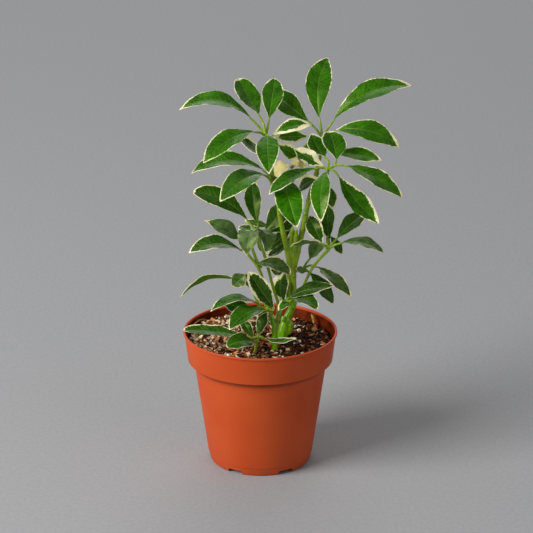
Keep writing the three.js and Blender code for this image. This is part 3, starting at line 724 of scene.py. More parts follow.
def cream_edged(add, place, green, cream):
    """The green with its ragged cream margin, yellower on a blade with a strong painted sheen, and a pale
    halo inside it.
    """
    _, grey, ragged = add("SeparateXYZ", add("Attribute", attribute_name="blade_looks")["Vector"])
    inside = add("Attribute", attribute_name="inside_cream")["Fac"]
    for size, detail, reach in TEARS:
        tear = add("TexNoise", {"Vector": place, "Scale": 1 / (size * MM), "Detail": detail})["Fac"]
        tear = add("Math", tear, 0.5, operation="SUBTRACT")[0]
        tear = add("Math", tear, ragged, operation="MULTIPLY")[0]
        inside = add("Math", tear, reach, inside, operation="MULTIPLY_ADD")[0]
    halo = add("MapRange", inside, 0, 0.7, 0.25, 0, **SMOOTH)[0]
    green = add("Mix", {0: halo, 6: green, 7: rgba("#7E9C5E")}, **COLOURS)[2]
    blotches = add("TexNoise", {"Vector": place, "Scale": 1 / (3 * MM), "Detail": 2})["Fac"]
    cream = add("Mix", {0: blotches, 6: cream, 7: rgba("#F2E498")}, **COLOURS)[2]
    yellowed = add("Math", grey, 0.6, operation="MULTIPLY")[0]
    cream = add("Mix", {0: yellowed, 6: cream, 7: rgba("#E4BE68")}, **COLOURS)[2]
    inner = add("MapRange", inside, -0.16, 0.12, **SMOOTH)[0]
    return add("Mix", {0: inner, 6: cream, 7: green}, **COLOURS)[2]


def leaf_skin(name, fresh, greens, cream, shine):
    """A living blade: waxy green with a ragged cream margin, a pale midrib and faint side veins, its
    surface grooved along them, with light let through."""
    made, add, place = new_material(name)
    across, along, _ = add("SeparateXYZ", add("Attribute", attribute_name="blade_place")["Vector"])
    wobble, gloss, relief = (
        add("TexNoise", {"Vector": place, "Scale": 1 / (size * MM), "Detail": 2})["Fac"]
        for size in (5, 4, 1.2)
    )
    side = add("Math", across, operation="ABSOLUTE")[0]
    phase = add("Math", side, -VEIN_SLANT, along, operation="MULTIPLY_ADD")[0]
    phase = add("Math", wobble, 1.6, phase, operation="MULTIPLY_ADD")[0]
    midrib, veins = blade_lines(add, side, phase)
    faint = add("Math", veins, 0.34, operation="MULTIPLY")[0]
    lines = add("Math", midrib, faint, operation="MAXIMUM")[0]
    fade = add("MapRange", along, 4, 40, 0.42, 0.168, **SMOOTH)[0]
    lines = add("Math", lines, fade, operation="MULTIPLY")[0]
    green = blade_green(add, place, phase, fresh, greens)
    green = add("Mix", {0: lines, 6: green, 7: rgba("#7FA83C")}, **COLOURS)[2]
    grooves = add("Math", veins, 0.6, operation="MULTIPLY")[0]
    grooves = add("Math", midrib, grooves, operation="MAXIMUM")[0]
    relief = add("Math", relief, 0.35, operation="MULTIPLY")[0]
    relief = add("Math", relief, grooves, operation="SUBTRACT")[0]
    shader = add("BsdfPrincipled", {
        "Base Color": cream_edged(add, place, green, cream),
        "Roughness": add("MapRange", gloss, 0.3, 0.7, shine, shine + 0.1, **SMOOTH)[0],
        "Normal": add("Bump", {"Height": relief, "Distance": 0.18 * MM, "Strength": 0.7})[0],
        "IOR": 1.45,
        "Specular IOR Level": 0.38,
        "Specular Tint": rgba("#DCE890"),
        "Subsurface Weight": 0.5,
        "Subsurface Radius": (0.7, 1, 0.3),
        "Subsurface Scale": 1.6 * MM,
    })
    add("OutputMaterial", shader[0])
    return made


def floor_paper():
    """Studio background paper, rolled: pale neutral grey, matte, with a faint fleck, which is drawn
    2.5 mm wide so that it shows."""
    made, add, place = new_material("background_paper_rolled")
    fleck = add("TexNoise", {"Vector": place, "Scale": 1 / (2.5 * MM), "Detail": 4})["Fac"]
    fleck = add("MapRange", fleck, 0.35, 0.7, **SMOOTH)[0]
    base = add("Mix", {0: fleck, 6: rgba("#A0A0A1"), 7: rgba("#9A9A9B")}, **COLOURS)[2]
    add("OutputMaterial", add("BsdfPrincipled", {"Base Color": base, "Roughness": 0.9})[0])
    return made


# Modelling.


def start_clean():
    """Leaves edit mode and deselects everything, because an operator acts on all that is selected."""
    if bpy.context.object and bpy.context.object.mode != "OBJECT":
        bpy.ops.object.mode_set(mode="OBJECT")
    bpy.ops.object.select_all(action="DESELECT")


def make_active(thing, *others):
    start_clean()
    for each in (thing, *others):
        each.select_set(True)
    bpy.context.view_layer.objects.active = thing


def apply_modifier(thing, name, kind, **settings):
    make_active(thing)
    modifier = thing.modifiers.new(name, kind)
    for key, value in settings.items():
        setattr(modifier, key, value)
    bpy.ops.object.modifier_apply(modifier=modifier.name)


def joined(name, things):
    make_active(*things)
    if len(things) > 1:
        bpy.ops.object.join()
    made = bpy.context.object
    made.name = name
    made.data.name = name
    return made


def settle(thing, node):
    """Puts the piece's place into its mesh, hangs it on the root it rides on, and hides the packed part it
    stands for.
    """
    make_active(thing)
    bpy.ops.object.transform_apply(location=True, rotation=True, scale=True)
    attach(thing, "root")
    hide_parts(node)


def corners_of(mesh):
    places = np.empty(len(mesh.vertices) * 3)
    mesh.vertices.foreach_get("co", places)
    return places.reshape(-1, 3)


def move_corners(mesh, places):
    mesh.vertices.foreach_set("co", np.asarray(places, float).ravel())
    mesh.update()


def write_attribute(mesh, name, values):
    """Writes a number or a vector on each corner."""
    values = np.asarray(values, float)
    kind, key = ("FLOAT", "value") if values.ndim == 1 else ("FLOAT_VECTOR", "vector")
    mesh.attributes.new(name, kind, "POINT").data.foreach_set(key, values.ravel())


def in_scene(name, data):
    thing = bpy.data.objects.new(name, data)
    bpy.context.scene.collection.objects.link(thing)
    return thing


def wear(thing, *skins):
    thing.data.materials.clear()
    for skin in skins:
        thing.data.materials.append(skin)


def rounded(profile):
    """A profile of radius, height and fillet, with an arc in place of each filleted corner."""
    points = [np.array(p[:2], float) for p in profile]
    made = [points[0]]
    for before, corner, after, fillet in zip(points, points[1:], points[2:], [p[2] for p in profile[1:]]):
        if not fillet:
            made.append(corner)
            continue
        start = corner + (before - corner) * min(fillet / np.linalg.norm(before - corner), 0.5)
        end = corner + (after - corner) * min(fillet / np.linalg.norm(after - corner), 0.5)
        for t in np.linspace(0, 1, FILLET_STEPS + 1):
            made.append(start * (1 - t) ** 2 + corner * 2 * t * (1 - t) + end * t**2)
    return [*made, points[-1]]


def drawn_up(name, profile, sides):
    """A closed round body: a disc extruded ring by ring along a profile of radius and height."""
    start_clean()
    radius, height = profile[0] * MM
    bpy.ops.mesh.primitive_circle_add(
        vertices=sides, radius=radius, fill_type="NGON", location=(0, 0, height)
    )
    body = bpy.context.object
    body.name = name
    bpy.ops.object.mode_set(mode="EDIT")
    bpy.ops.mesh.select_all(action="SELECT")
    for before, after in zip(profile, profile[1:]):
        step = (after[1] - before[1]) * MM
        bpy.ops.mesh.extrude_region_move(TRANSFORM_OT_translate={"value": (0, 0, step)})
        share = after[0] / before[0]
        bpy.ops.transform.resize(value=(share, share, 1), center_override=(0, 0, after[1] * MM))
    bpy.ops.mesh.select_all(action="SELECT")
    bpy.ops.mesh.normals_make_consistent(inside=False)
    bpy.ops.object.mode_set(mode="OBJECT")
    bpy.ops.object.transform_apply(location=True, rotation=True, scale=True)
    return body


def wall_radius(height, sizes):
    """The inner wall's radius, in millimetres, at a height within the rim band."""
    foot = sizes.height / MM - BAND_DEPTH + 1
    lip = sizes.height / MM - LIP_ROUND
    inner_foot = sizes.rim_radius / MM - BAND_TAPER - sizes.wall / MM + WALL_DRAFT
    inner_lip = sizes.rim_radius / MM - sizes.wall / MM - WALL_DRAFT
    return inner_foot + (inner_lip - inner_foot) * (height - foot) / (lip - foot)


def pot_profile(sizes):
    """Radius, height and fillet from the centre pad up the outside, over the lip and down inside."""
    top = sizes.height / MM
    rim = sizes.rim_radius / MM
    wall = sizes.wall / MM
    inner_rim = rim - wall - WALL_DRAFT
    band_foot = top - BAND_DEPTH
    neck = rim - BAND_TAPER - NECK_STEP
    inner_step = band_foot + INNER_STEP
    foot = [
        (PAD_RADIUS, 0, 0), (PAD_RADIUS + 1, UNDERSIDE_HEIGHT, 0.6),
        (FOOT_RING_INNER, UNDERSIDE_HEIGHT, 0.6), (FOOT_RING_INNER + 0.6, 0, 0.3),
        (FOOT_RADIUS, 0, 1.4), (STEP_RADIUS, STEP_HEIGHT, 0),
        (STEP_RADIUS + 0.35, STEP_HEIGHT + 0.3, 0.15),
    ]
    crease = [(neck + out, band_foot + up, fillet) for out, up, fillet in CREASE]
    band = [
        (rim - BAND_TAPER, band_foot, 0.2), (rim - LIP_EDGE, top - LIP_FOOT, 0),
        (rim, top - LIP_BEAD, 0.1), (rim, top, 0.5),
    ]
    inside = [
        (inner_rim, top, 1.5), (inner_rim, top - 2, 0.5),
        (wall_radius(inner_step, sizes), inner_step, 1.5),
        (neck - wall + 0.6, band_foot + COVE_TOP + 0.6, 1.5),
        (neck - wall, band_foot - NECK_DROP + 0.9, 1.5),
        (STEP_RADIUS - wall - FLOOR_INSET, FLOOR_HEIGHT, 2), (PAD_RADIUS, FLOOR_HEIGHT, 0),
    ]
    return rounded(foot + crease + band + inside)


def notch_cutters():
    """Rounded blocks through the foot ring, one for each drain notch."""
    blocks = []
    size = Vector((NOTCH_WIDTH, NOTCH_DEPTH, 2 * UNDERSIDE_HEIGHT)) * MM
    for i in range(NOTCHES):
        turn = math.radians(NOTCH_TURN + 360 / NOTCHES * i)
        start_clean()
        bpy.ops.mesh.primitive_cube_add(size=1, scale=size)
        block = bpy.context.object
        bpy.ops.object.transform_apply(location=False, rotation=False, scale=True)
        bpy.ops.object.mode_set(mode="EDIT")
        bpy.ops.mesh.select_all(action="DESELECT")
        bpy.ops.object.mode_set(mode="OBJECT")
        for edge in block.data.edges:
            first, second = (block.data.vertices[v].co for v in edge.vertices)
            edge.select = abs(first.y - second.y) > NOTCH_DEPTH * MM / 2
        bpy.ops.object.mode_set(mode="EDIT")
        bpy.ops.mesh.select_mode(type="EDGE")
        bpy.ops.mesh.bevel(offset=NOTCH_CORNER * MM, segments=3)
        bpy.ops.object.mode_set(mode="OBJECT")
        block.location = Matrix.Rotation(turn, 3, "Z") @ Vector((0, -FOOT_RADIUS * MM, 0))
        block.rotation_euler = (0, 0, turn)
        blocks.append(block)
    return joined("notch_cutters", blocks)


def faces_inwards(face, sizes):
    """Whether a face of the pot is on its inner wall, below the lip."""
    outward = Vector((face.center.x, face.center.y, 0))
    above_floor = face.center.z > FLOOR_HEIGHT * MM / 2
    return above_floor and face.center.z < sizes.height - LIP_DEPTH * MM and face.normal.dot(outward) < 0


def smooth(thing, degrees):
    make_active(thing)
    bpy.ops.object.shade_smooth_by_angle(angle=math.radians(degrees))


# Potting mix.


def soil_height(x, y):
    """Height of the mix in millimetres: mounded towards the back left, with two low swells."""
    away = math.dist((x, y), MOUND_PLACE)
    mound = SOIL_MOUND * math.exp(-((away / MOUND_SPREAD) ** 2))
    swells = 0.7 * math.sin(0.41 * x + 1.3) * math.cos(0.37 * y) + 0.4 * math.sin(0.9 * x - 0.7 * y)
    return SOIL_HEIGHT + mound + swells


def crumbled(place):
    """Fine roughness, in millimetres, of lumps a few millimetres across."""
    return sum(height * noise.noise(place / size) for height, size in LUMPS)


def soil_body(sizes):
    """The mix without its chips: up the pot's wall, then in over the top in rings."""
    edge = wall_radius(SOIL_HEIGHT, sizes) - SIDE_GAP
    inner = sizes.wall / MM + SIDE_GAP
    band_foot = sizes.height / MM - BAND_DEPTH
    inner_step = band_foot + INNER_STEP
    neck = sizes.rim_radius / MM - BAND_TAPER - NECK_STEP - inner
    profile = [
        (STEP_RADIUS - inner - FLOOR_INSET, SOIL_FLOOR), (neck, band_foot - NECK_DROP),
        (neck + 0.5, band_foot + COVE_TOP), (wall_radius(inner_step, sizes) - SIDE_GAP, inner_step),
        (edge, SOIL_HEIGHT - 1),
    ]
    profile += [(edge * (1 - i / SOIL_RINGS), SOIL_HEIGHT) for i in range(SOIL_RINGS)]
    body = drawn_up("potting_mix", [np.array(p, float) for p in profile], SOIL_SIDES)
    places = corners_of(body.data) / MM
    for place in places:
        if place[2] > SOIL_HEIGHT - 0.5:
            x, y = place[:2]
            place[2] = soil_height(x, y) + crumbled(Vector((x, y, 0)))
    move_corners(body.data, places * MM)
    return body


def rough_shapes(kind):
    """Chips, flakes or crumbs about a millimetre across: the corners and faces of each."""
    count, stray = SHAPES[kind]
    shapes = []
    for number in range(count):
        start_clean()
        if kind == "perlite":
            bpy.ops.mesh.primitive_ico_sphere_add(subdivisions=2, radius=0.5)
        else:
            bpy.ops.mesh.primitive_cube_add(size=1)
        thing = bpy.context.object
        bpy.ops.object.mode_set(mode="EDIT")
        if kind == "bark":
            bpy.ops.mesh.subdivide(number_cuts=1, fractal=0.55, seed=number + 1)
        bpy.ops.transform.vertex_random(offset=stray, seed=number)
        bpy.ops.object.mode_set(mode="OBJECT")
        shapes.append((corners_of(thing.data), [list(face.vertices) for face in thing.data.polygons]))
        bpy.data.objects.remove(thing)
    return shapes


def scattered(name, kind, placings, skin):
    """Copies of a kind's shapes, each turned, scaled and put in its place, as one mesh."""
    shapes = rough_shapes(kind)
    corners, faces, tones = [], [], []
    count = 0
    for shape, matrix, tone in placings:
        places, sides = shapes[shape]
        turn = np.array(matrix.to_3x3())
        corners.append(places @ turn.T + np.array(matrix.translation))
        faces.extend([corner + count for corner in side] for side in sides)
        tones.extend([tone] * len(places))
        count += len(places)
    mesh = bpy.data.meshes.new(name)
    mesh.from_pydata((np.concatenate(corners) * MM).tolist(), [], faces)
    write_attribute(mesh, "chip_tone", tones)
    thing = in_scene(name, mesh)
    wear(thing, skin)
    return thing


def random_spot(rng, reach):
    """A spot within reach of the pot's axis, drawn evenly over the surface."""
    distance = reach * math.sqrt(rng.random())
    turn = rng.uniform(0, 2 * math.pi)
    return distance * math.cos(turn), distance * math.sin(turn)


def lie(x, y, lift, tilt, rng, size):
    """Where a chip lies: on the surface at x, y, tilted a little and turned any way."""
    turn = Euler((rng.uniform(-tilt, tilt), rng.uniform(-tilt, tilt), rng.uniform(0, 2 * math.pi)))
    place = Vector((x, y, soil_height(x, y) + lift))
    return Matrix.LocRotScale(place, turn, Vector(size))


def bark_placings(kind, count, sizes, rng):
    """The shape, place and tone of each chip or flake."""
    shortest, longest = sizes
    shapes, _ = SHAPES[kind]
    placings = []
    for _ in range(count):
        length = shortest + (longest - shortest) * rng.random() ** MOST_CHIPS_SMALL
        size = (length, length * rng.uniform(*CHIP_WIDTHS), length * rng.uniform(*CHIP_THICKNESSES))
        x, y = random_spot(rng, CHIP_REACH - length / 2)
        lift = rng.uniform(*CHIP_LIFTS)
        # Painted shade: chips are darker towards the right, away from the key light.
        tone = min(1, max(0, rng.gauss(TONE - x / SHADE_FALL_RIGHT + y / TONE_RISE, TONE_SPREAD)))
        placings.append((rng.randrange(shapes), lie(x, y, lift, CHIP_TILT, rng, size), tone))
    return placings


def perlite_placings(count, rng):
    """The shape and place of each crumb."""
    smallest, largest = CRUMB_SIZES
    shapes, _ = SHAPES["perlite"]
    placings = []
    for _ in range(count):
        across = smallest + (largest - smallest) * rng.random() ** MOST_CRUMBS_SMALL
        x, y = random_spot(rng, CRUMB_REACH - across / 2)
        size = [across * rng.uniform(*CRUMB_SQUASH) for _ in range(3)]
        shape = rng.randrange(shapes)
        placings.append((shape, lie(x, y, rng.uniform(*CRUMB_LIFTS), CRUMB_TILT, rng, size), 0))
    return placings


def leaf_strip(points, width, skin):
    """A dry strip of leaf: a flat ribbon bent along its points, curled at its edges."""
    start_clean()
    bpy.ops.mesh.primitive_grid_add(x_subdivisions=4, y_subdivisions=16, size=2)
    strip = bpy.context.object
    path = smooth_path(points, 40)
    places = []
    for x, y, _ in corners_of(strip.data):
        share = (y + 1) / 2
        half = width / 2 * (1 - (2 * share - 1) ** 4) + STRIP_TIP
        middle = path[round(share * (len(path) - 1))]
        places.append(middle + np.array(STRIP_ACROSS) * x * half + [0, 0, STRIP_CURL * x * x])
    move_corners(strip.data, np.array(places) * MM)
    wear(strip, skin)
    apply_modifier(strip, "thickness", "SOLIDIFY", thickness=STRIP_THICKNESS * MM, offset=0)
    return strip


# Stems, stalks and blades.


def smooth_path(points, steps):
    """A curve through the points, evenly stepped, drawn without overshoot where they are uneven."""
    points = np.array(points, float)
    points = np.vstack([2 * points[0] - points[1], points, 2 * points[-1] - points[-2]])
    drawn = []
    for before, start, end, after in zip(points, points[1:], points[2:], points[3:]):
        spans = (start - before, end - start, after - end)
        gaps = [max(np.linalg.norm(span), 1e-6) ** 0.5 for span in spans]
        leave = (start - before) / gaps[0] - (end - before) / (gaps[0] + gaps[1]) + (end - start) / gaps[1]
        arrive = (end - start) / gaps[1] - (after - start) / (gaps[1] + gaps[2]) + (after - end) / gaps[2]
        for t in np.linspace(0, 1, CURVE_STEPS, endpoint=False):
            drawn.append(
                (2 * t**3 - 3 * t**2 + 1) * start + (t**3 - 2 * t**2 + t) * gaps[1] * leave
                + (3 * t**2 - 2 * t**3) * end + (t**3 - t**2) * gaps[1] * arrive
            )
    drawn = np.array([*drawn, points[-2]])
    run = np.concatenate([[0], np.cumsum(np.linalg.norm(np.diff(drawn, axis=0), axis=1))])
    even = np.linspace(0, run[-1], steps)
    return np.stack([np.interp(even, run, drawn[:, axis]) for axis in range(3)], 1)


def path_length(points):
    return float(np.linalg.norm(np.diff(np.array(points, float), axis=0), axis=1).sum())


def limb(points, radii):
    """A limb's centres and radii at every PATH_STEP along it."""
    steps = max(int(path_length(points) / PATH_STEP), 6)
    shares = np.linspace(0, 1, steps)
    return smooth_path(points, steps), np.interp(shares, np.linspace(0, 1, len(radii)), radii)


def tubes(name, limbs):
    """Round limbs drawn as curves with a bevel, turned into a mesh."""
    start_clean()
    data = bpy.data.curves.new(name, "CURVE")
    data.dimensions = "3D"
    data.bevel_depth = MM
    data.bevel_resolution = 4
    data.use_fill_caps = True
    for centres, radii in limbs:
        spline = data.splines.new("POLY")
        spline.points.add(len(centres) - 1)
        places = np.hstack([centres * MM, np.ones((len(centres), 1))])
        spline.points.foreach_set("co", places.ravel())
        spline.points.foreach_set("radius", np.asarray(radii, float))
    make_active(in_scene(name, data))
    bpy.ops.object.convert(target="MESH")
    return bpy.context.object


def grow_together(thing):
    """Melts overlapping limbs into one skin."""
    make_active(thing)
    thing.data.remesh_voxel_size = VOXEL * MM
    bpy.ops.object.voxel_remesh()
    apply_modifier(thing, "soften", "SMOOTH", factor=0.5, iterations=2)


def scarred(limbs, spacing, rng):
    """Limbs with a swelling and a leaf scar every so often, and how strong the scar is along them."""
    made, scars = [], []
    for centres, radii in limbs:
        run = np.linspace(0, path_length(centres), len(centres))
        swollen, scar = radii.copy(), np.zeros(len(radii))
        place = spacing * rng.uniform(*FIRST_SCAR)
        while place < run[-1] - STEM_END:
            past = run - place
            swollen *= 1 + SWELLING * np.exp(-((past / SWELLING_REACH) ** 2))
            swollen *= 1 - NARROWING * np.exp(-(((past - NARROWING_PLACE) / NARROWING_REACH) ** 2))
            scar = np.maximum(scar, np.exp(-((past / SCAR_REACH) ** 2)))
            place += spacing * rng.uniform(*NEXT_SCAR)
        made.append((centres, swollen))
        scars.append(scar)
    return made, scars


def paint_scars(thing, limbs, scars):
    """Gives each corner the scar of the nearest point on the limbs."""
    places = corners_of(thing.data) / MM
    centres = np.vstack([c for c, _ in limbs])
    values = np.concatenate(scars)
    nearest = np.concatenate([
        np.argmin(((part[:, None, :] - centres[None]) ** 2).sum(-1), 1)
        for part in np.array_split(places, max(len(places) // 2000, 1))
    ])
    write_attribute(thing.data, "scar", values[nearest])


def unit(vector):
    return vector / np.linalg.norm(vector, axis=-1, keepdims=True)


def blade_frame(leaf, share):
    """The midrib at each share of its length, with its direction, its upward normal and its right."""
    base, tip = np.array(leaf.base, float), np.array(leaf.tip, float)
    along = tip - base
    axis = unit(along)
    up = np.array(leaf.face, float)
    up = unit(up - axis * (up @ axis))
    side = np.cross(axis, up)
    share = np.asarray(share, float)[:, None]
    lean = up * leaf.arch + side * leaf.sway
    middle = base + along * share + lean * 4 * share * (1 - share)
    tangent = unit(along + lean * 4 * (1 - 2 * share))
    normal = unit(np.cross(side, tangent))
    return middle, tangent, normal, np.cross(tangent, normal)


def half_width(leaf, share):
    """Half the blade's width at each share of its length."""
    power = math.log(0.5) / math.log(leaf.widest)
    blunt = 1 + (leaf.point - 1) * share
    swell = np.maximum(np.sin(math.pi * share**power), 0) ** blunt
    return np.maximum(leaf.width / 2 * swell, LEAST_HALF_WIDTH)


def cream_width(leaf, usual, share, across, length):
    """How far the cream reaches in from the edge, in millimetres."""
    left = usual if leaf.left is None else leaf.left
    right = usual if leaf.right is None else leaf.right
    side = np.where(across < 0, left, right)
    swell = np.maximum(share, 0.001) ** leaf.grows
    end = leaf.end * np.exp(-(1 - share) * length / CREAM_END_REACH)
    foot = leaf.foot * np.exp(-share * length / CREAM_FOOT_REACH)
    least = np.minimum(side / CREAM_FULL_TO_BASE, 1)
    return side * np.maximum(swell, least) + end + foot - CREAM_LOSS


def bent(leaf, draw, across, share):
    """Where the blank's corners go: out from the midrib, folded up, curled, waved and rippled."""
    middle, _, normal, right = blade_frame(leaf, share)
    half = half_width(leaf, share)
    length = path_length([leaf.base, leaf.tip])
    swing = 2 * math.pi * (draw + 0.5 * (across > 0))
    wave = np.sin(2 * math.pi * WAVE_COUNT * share + across) * WAVE_HEIGHT * leaf.wave * across**2
    ripple = np.sin(2 * math.pi * length / RIPPLE_LENGTH * share + swing) * RIPPLE_HEIGHT * across**4
    edge = (wave + ripple) * np.minimum(1, half / FULL_WAVE)
    height = half * (BLADE_FOLD * np.abs(across) - BLADE_CURL * across**2) + edge
    return middle + right * (half * across)[:, None] + normal * height[:, None]


def write_looks(mesh, leaf, frond, draw, across, share):
    """Tells the skin how far each corner is inside the cream, its place on the blade, and the blade's
    age, painted sheen and raggedness."""
    half = half_width(leaf, share)
    length = path_length([leaf.base, leaf.tip])
    edge = np.minimum(half * (1 - np.abs(across)), (1 - share) * length * CREAM_TIP_SHARE)
    cream = cream_width(leaf, frond.cream, share, across, length)
    ragged = leaf.ragged * np.clip(cream / CREAM_FULLY_TORN, CREAM_LEAST_TORN, 1)
    age = frond.age if leaf.age is None else leaf.age
    same = np.ones(len(share))
    write_attribute(mesh, "inside_cream", edge - cream)
    write_attribute(mesh, "blade_place", np.stack([half * across, share * length, same * draw], 1))
    write_attribute(mesh, "blade_looks", np.stack([same * age, same * leaf.grey, ragged], 1))


def blade(leaf, frond, draw, blank):
    """A copy of the flat blank bent into a blade, its rows drawn to its ends and its columns to the
    midrib."""
    mesh = blank.data.copy()
    x, y, _ = corners_of(mesh).T
    across = np.sign(x) * np.abs(x) ** COLUMN_SPREAD
    share = 0.5 - 0.5 * np.cos(math.pi * (y + 1) / 2)
    move_corners(mesh, bent(leaf, draw, across, share) * MM)
    write_looks(mesh, leaf, frond, draw, across, share)
    return in_scene("blade", mesh)


def blade_blank():
    """The flat sheet that every blade is bent from."""
    start_clean()
    bpy.ops.mesh.primitive_grid_add(x_subdivisions=BLADE_COLUMNS, y_subdivisions=BLADE_ROWS, size=2)
    blank = bpy.context.object
    blank.name = "blade_blank"
    return blank


def stalk(leaf, hub):
    """A stalk leaves the hub, bends round to the blade's own direction and runs into its midrib."""
    start = np.array(hub if leaf.origin is None else leaf.origin, float)
    middle, tangent, normal, _ = blade_frame(leaf, [0])
    base, tangent = middle[0], tangent[0]
    bend = base - tangent * np.linalg.norm(base - start) / 2
    halfway = (start + (bend - start) * STALK_BEND) * (1 - STALK_LEAN) + base * STALK_LEAN
    end = base + tangent * STALK_ENTRY - normal[0] * STALK_SINK
    centres = smooth_path([start, halfway, end], STALK_STEPS)
    return centres, STALK_RADIUS * np.interp(np.linspace(0, 1, STALK_STEPS), *STALK_TAPER)


def petiole(path, girth):
    """A petiole flares where it leaves the stem and again at its hub."""
    before, last = np.array(path[-2], float), np.array(path[-1], float)
    points = [*path[:-1], (last + unit(last - before) * HUB_OVERRUN).tolist()]
    steps = max(int(path_length(points) / PATH_STEP), 8)
    return smooth_path(points, steps), girth * np.interp(np.linspace(0, 1, steps), *PETIOLE_TAPER)


def model_frond(name, frond, number, blank, skins, thickness):
    """One frond: stalks and hub grown together, and a thickened blade on the end of each stalk."""
    rng = random.Random(number)
    hub = frond.petiole[-1]
    limbs = [petiole(path, frond.girth) for path in (frond.petiole, *frond.stalks)]
    limbs += [stalk(leaf, hub) for leaf in frond.leaflets]
    stalks = tubes(name + "_stalks", limbs)
    start_clean()
    bpy.ops.mesh.primitive_uv_sphere_add(
        segments=16, ring_count=10, radius=HUB_RADIUS * MM * frond.girth, location=Vector(hub) * MM
    )
    stalks = joined(name + "_stalks", [stalks, bpy.context.object])
    grow_together(stalks)
    wear(stalks, skins["stalk"])
    blades = joined(name + "_blades", [blade(leaf, frond, rng.random(), blank) for leaf in frond.leaflets])
    wear(blades, skins["upper"], skins["under"])
    apply_modifier(blades, "body", "SOLIDIFY", thickness=thickness, offset=0, material_offset=1)
    piece = joined(name + "_leaves", [blades, stalks])
    smooth(piece, 50)
    settle(piece, name)


def softbox(place, size, power):
    """A square area light at place that faces the middle of the plant."""
    aim = (Vector(LIGHT_AIM) - Vector(place)).to_track_quat("-Z", "Y").to_euler()
    bpy.ops.object.light_add(type="AREA", location=place, rotation=aim)
    light = bpy.context.object.data
    light.size = size
    light.energy = power


# Settings, one group for each part of the plant.


class PotSettings(bpy.types.PropertyGroup):
    height: bpy.props.FloatProperty(
        name="Height", description="From the foot to the lip", default=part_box("pot")[1].z, unit="LENGTH"
    )
    rim_radius: bpy.props.FloatProperty(
        name="Rim radius", description="Outer radius of the rim", default=54 * MM, unit="LENGTH"
    )
    wall: bpy.props.FloatProperty(
        name="Wall", description="Thickness of the moulded wall", default=1.5 * MM, unit="LENGTH"
    )
    colour: bpy.props.FloatVectorProperty(
        name="Colour", description="Colour of the plastic", subtype="COLOR", size=3, min=0, max=1,
        default=linear("#BC481A")
    )


class MixSettings(bpy.types.PropertyGroup):
    bark_chips: bpy.props.IntProperty(
        name="Bark chips", description="How many chips lie on the mix", default=1100, min=0
    )
    bark_flakes: bpy.props.IntProperty(
        name="Bark flakes", description="How many fine flakes lie between the chips", default=6500, min=0
    )
    perlite_crumbs: bpy.props.IntProperty(
        name="Perlite crumbs", description="How many white crumbs lie on the mix", default=110, min=0
    )


class StemSettings(bpy.types.PropertyGroup):
    scar_spacing: bpy.props.FloatProperty(
        name="Scar spacing", description="Distance between leaf scars", default=12 * MM, unit="LENGTH"
    )
    green: bpy.props.FloatVectorProperty(
        name="Green", description="Colour of the young bark", subtype="COLOR", size=3, min=0, max=1,
        default=linear(STEM_GREEN)
    )


class FrondSettings(bpy.types.PropertyGroup):
    blade_thickness: bpy.props.FloatProperty(
        name="Blade thickness", description="Thickness of a leaf blade", default=0.3 * MM, unit="LENGTH"
    )
    fresh_green: bpy.props.FloatVectorProperty(
        name="Fresh green", description="Colour of a young blade's upper side", subtype="COLOR", size=3,
        min=0, max=1, default=linear(FRESH_GREEN)
    )
    cream: bpy.props.FloatVectorProperty(
        name="Cream", description="Colour of the blades' margins", subtype="COLOR", size=3,
        min=0, max=1, default=linear(CREAM)
    )


class StageSettings(bpy.types.PropertyGroup):
    lens: bpy.props.FloatProperty(
        name="Lens", description="Focal length on a 36 mm sensor, in millimetres", default=165.9
    )
    distance: bpy.props.FloatProperty(
        name="Distance", description="From the pot's axis to the camera", default=1.6, unit="LENGTH"
    )
    camera_height: bpy.props.FloatProperty(
        name="Camera height", description="Height of the camera", default=0.733, unit="LENGTH"
    )
    camera_tilt: bpy.props.FloatProperty(
        name="Camera tilt", description="How far the camera looks down", default=math.radians(20.22),
        subtype="ANGLE"
    )
    key_power: bpy.props.FloatProperty(
        name="Key light", description="Power of the softbox, in watts", default=66
    )


# Operators, one for each piece or group of like pieces.


class PLANT_OT_pot(bpy.types.Operator):
    """Models the nursery pot: wall, lip and foot drawn up from a disc, then its drain notches cut"""

    bl_idname = "plant.pot"
    bl_label = "Nursery Pot"

    def execute(self, context):
        sizes = context.scene.plant_pot
        pot = drawn_up("nursery_pot", pot_profile(sizes), POT_SIDES)
        cutters = notch_cutters()
        apply_modifier(pot, "notches", "BOOLEAN", operation="DIFFERENCE", object=cutters, solver="EXACT")
        bpy.data.objects.remove(cutters)
        # The inner wall wears a darker copy of the plastic: painted shade.
        wear(pot, pot_plastic(sizes.colour), shaded_inner_plastic())
        for face in pot.data.polygons:
            face.material_index = int(faces_inwards(face, sizes))
        smooth(pot, 30)
        settle(pot, "pot")
        return {"FINISHED"}


class PLANT_OT_mix(bpy.types.Operator):
    """Models the potting mix: a rough body, with bark chips, perlite and two dry leaf strips on it"""

    bl_idname = "plant.mix"
    bl_label = "Potting Mix"

    def execute(self, context):
        sizes = context.scene.plant_mix
        rng = random.Random(MIX_SEED)
        body = soil_body(context.scene.plant_pot)
        wear(body, peat())
        skin = bark()
        placings = bark_placings("bark", sizes.bark_chips, CHIP_SIZES, rng)
        chips = scattered("bark_chips", "bark", placings, skin)
        placings = bark_placings("flake", sizes.bark_flakes, FLAKE_SIZES, rng)
        flakes = scattered("bark_flakes", "flake", placings, skin)
        placings = perlite_placings(sizes.perlite_crumbs, rng)
        crumbs = scattered("perlite_crumbs", "perlite", placings, perlite())
        straw = dry_leaf()
        strips = [leaf_strip(points, width, straw) for points, width in DRY_STRIPS]
        mix = joined("potting_mix", [body, chips, flakes, crumbs, *strips])
        smooth(mix, 40)
        settle(mix, "soil")
        return {"FINISHED"}


